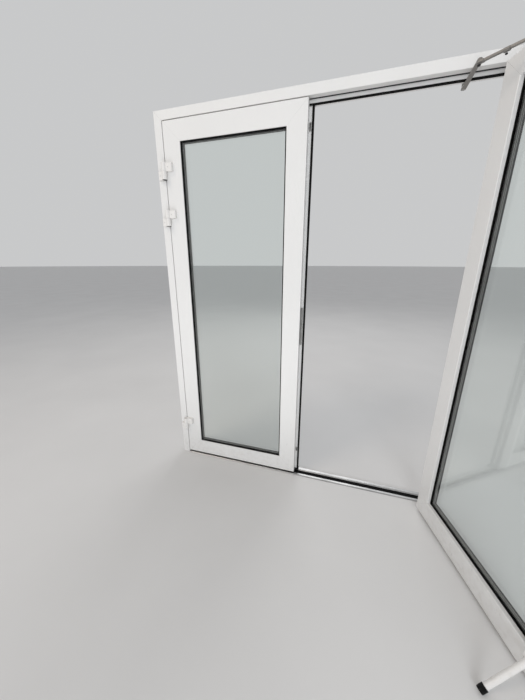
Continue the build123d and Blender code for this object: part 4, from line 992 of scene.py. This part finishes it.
class DOOR_OT_stage(bpy.types.Operator):
    """Floor, lights, sky and camera"""
    bl_idname = "door.stage"
    bl_label = "Stage"

    def execute(self, context):
        add_floor(tuple(context.scene.door_colours.floor))
        add_lamp("key_softbox", place=(-2.9, -2.8, 5.4), target=(0.2, 0.0, 1.2), size=2.0,
                 power=57.0, colour=(1.0, 0.87, 0.73), glossy=True)
        add_lamp("fill_softbox", place=(1.6, -5.4, 2.3), target=(0.0, 0.0, 0.1), size=2.4,
                 power=112.0, colour=(0.92, 0.96, 1.0), glossy=False)
        add_lamp("bounce_softbox", place=(-0.4, -1.7, 0.02), target=(-0.4, -1.7, 1.0), size=1.6,
                 power=20.0, colour=(0.97, 0.985, 1.0), glossy=False)
        add_lamp("rear_softbox", place=(-0.2, 4.2, 5.6), target=(0.0, 0.0, 0.9), size=3.0,
                 power=80.0, colour=(1.0, 1.0, 1.0), glossy=True)
        set_sky(light_colour=(0.95, 0.97, 1.0), strength=0.50, shown_colour=(0.58, 0.585, 0.59))
        set_camera(place=(0.2826, -1.6459, 1.4037), yaw=17.58, pitch=17.22, roll=0.07, lens=14.56)
        context.scene.view_settings.view_transform = "Standard"
        return {"FINISHED"}


def add_floor(colour):
    """Round floor: rings of points at growing distances from the door's middle."""
    count, drop = 64, 0.4 * MM
    radii = np.array([2.0, 8.0, 30.0, 120.0])
    t = circle_angles(count)
    below = np.full((len(radii), count), -drop)
    rings = np.stack([radii[:, None] * np.cos(t), radii[:, None] * np.sin(t), below], axis=-1)
    mesh = bpy.data.meshes.new("studio_floor")
    faces = grid_faces(len(radii), count, False)[:, ::-1].tolist() + [list(range(count))]
    mesh.from_pydata(rings.reshape(-1, 3).tolist(), [], faces)
    mesh.update()
    floor = bpy.data.objects.new("studio_floor", mesh)
    bpy.context.scene.collection.objects.link(floor)
    mesh.materials.append(floor_paint("studio_floor_paint", colour))


def add_lamp(name, place, target, size, power, colour, glossy):
    """Square softbox that faces a point and isn't seen itself, unless glossy shows it in gloss."""
    light = bpy.data.lights.new(name, "AREA")
    light.color = colour
    light.size = size
    light.energy = power
    lamp = bpy.data.objects.new(name, light)
    bpy.context.scene.collection.objects.link(lamp)
    lamp.visible_camera = False
    lamp.visible_transmission = False
    lamp.visible_glossy = glossy
    lamp.location = place
    direction = Vector(target) - Vector(place)
    lamp.rotation_euler = direction.to_track_quat("-Z", "Y").to_euler()


def set_sky(light_colour, strength, shown_colour):
    """Even studio light, with a plain tone of its own where it is seen, also in glass and metal."""
    world = bpy.data.worlds.new("studio_sky")
    bpy.context.scene.world = world
    world.use_nodes = True
    tree = world.node_tree
    tree.nodes.clear()
    out = tree.nodes.new("ShaderNodeOutputWorld")
    light = tree.nodes.new("ShaderNodeBackground")
    light.inputs["Color"].default_value = (*light_colour, 1.0)
    light.inputs["Strength"].default_value = strength
    shown = tree.nodes.new("ShaderNodeBackground")
    shown.inputs["Color"].default_value = (*shown_colour, 1.0)
    path = tree.nodes.new("ShaderNodeLightPath")
    seen = path.outputs["Is Camera Ray"]
    for ray in ("Is Transmission Ray", "Is Glossy Ray"):
        either = tree.nodes.new("ShaderNodeMath")
        either.operation = "MAXIMUM"
        tree.links.new(seen, either.inputs[0])
        tree.links.new(path.outputs[ray], either.inputs[1])
        seen = either.outputs["Value"]
    mix = tree.nodes.new("ShaderNodeMixShader")
    tree.links.new(seen, mix.inputs["Fac"])
    tree.links.new(light.outputs["Background"], mix.inputs[1])
    tree.links.new(shown.outputs["Background"], mix.inputs[2])
    tree.links.new(mix.outputs["Shader"], out.inputs["Surface"])


def set_camera(place, yaw, pitch, roll, lens):
    """Camera at the photograph's viewpoint, turned left by yaw and down by pitch, in degrees."""
    camera = bpy.data.cameras.new("view")
    camera.lens = lens
    camera.sensor_width = 36.0
    camera.clip_start = 0.02
    camera.clip_end = 300.0
    holder = bpy.data.objects.new("view", camera)
    bpy.context.scene.collection.objects.link(holder)
    turn = (Matrix.Rotation(math.radians(yaw), 4, "Z")
            @ Matrix.Rotation(math.radians(90.0 - pitch), 4, "X")
            @ Matrix.Rotation(math.radians(roll), 4, "Z"))
    holder.matrix_world = Matrix.Translation(place) @ turn
    bpy.context.scene.camera = holder


class DOOR_PT_panel(bpy.types.Panel):
    """Lists the door's operators, sizes and colours"""
    bl_idname = "DOOR_PT_panel"
    bl_label = "Glass entrance door"
    bl_space_type = "VIEW_3D"
    bl_region_type = "UI"
    bl_category = "Door"

    def draw(self, context):
        for operator in OPERATORS:
            self.layout.operator(operator.bl_idname)
        for group in (context.scene.door_sizes, context.scene.door_colours):
            for key in group.__annotations__:
                self.layout.prop(group, key)


OPERATORS = (DOOR_OT_profiles, DOOR_OT_glazing, DOOR_OT_seals, DOOR_OT_hinges, DOOR_OT_lock,
             DOOR_OT_closer, DOOR_OT_kick_stop, DOOR_OT_stage)
CLASSES = (DoorSizes, DoorColours) + OPERATORS + (DOOR_PT_panel,)


def register():
    """Register the classes and hang the property groups on the scene."""
    for cls in CLASSES:
        bpy.utils.register_class(cls)
    bpy.types.Scene.door_sizes = bpy.props.PointerProperty(type=DoorSizes)
    bpy.types.Scene.door_colours = bpy.props.PointerProperty(type=DoorColours)


def unregister():
    """Take the property groups and the classes off again."""
    del bpy.types.Scene.door_colours
    del bpy.types.Scene.door_sizes
    for cls in reversed(CLASSES):
        bpy.utils.unregister_class(cls)


def main():
    """Build every piece."""
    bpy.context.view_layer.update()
    register()
    for operator in OPERATORS:
        group, name = operator.bl_idname.split(".")
        getattr(getattr(bpy.ops, group), name)()


if __name__ == "__main__":
    main()
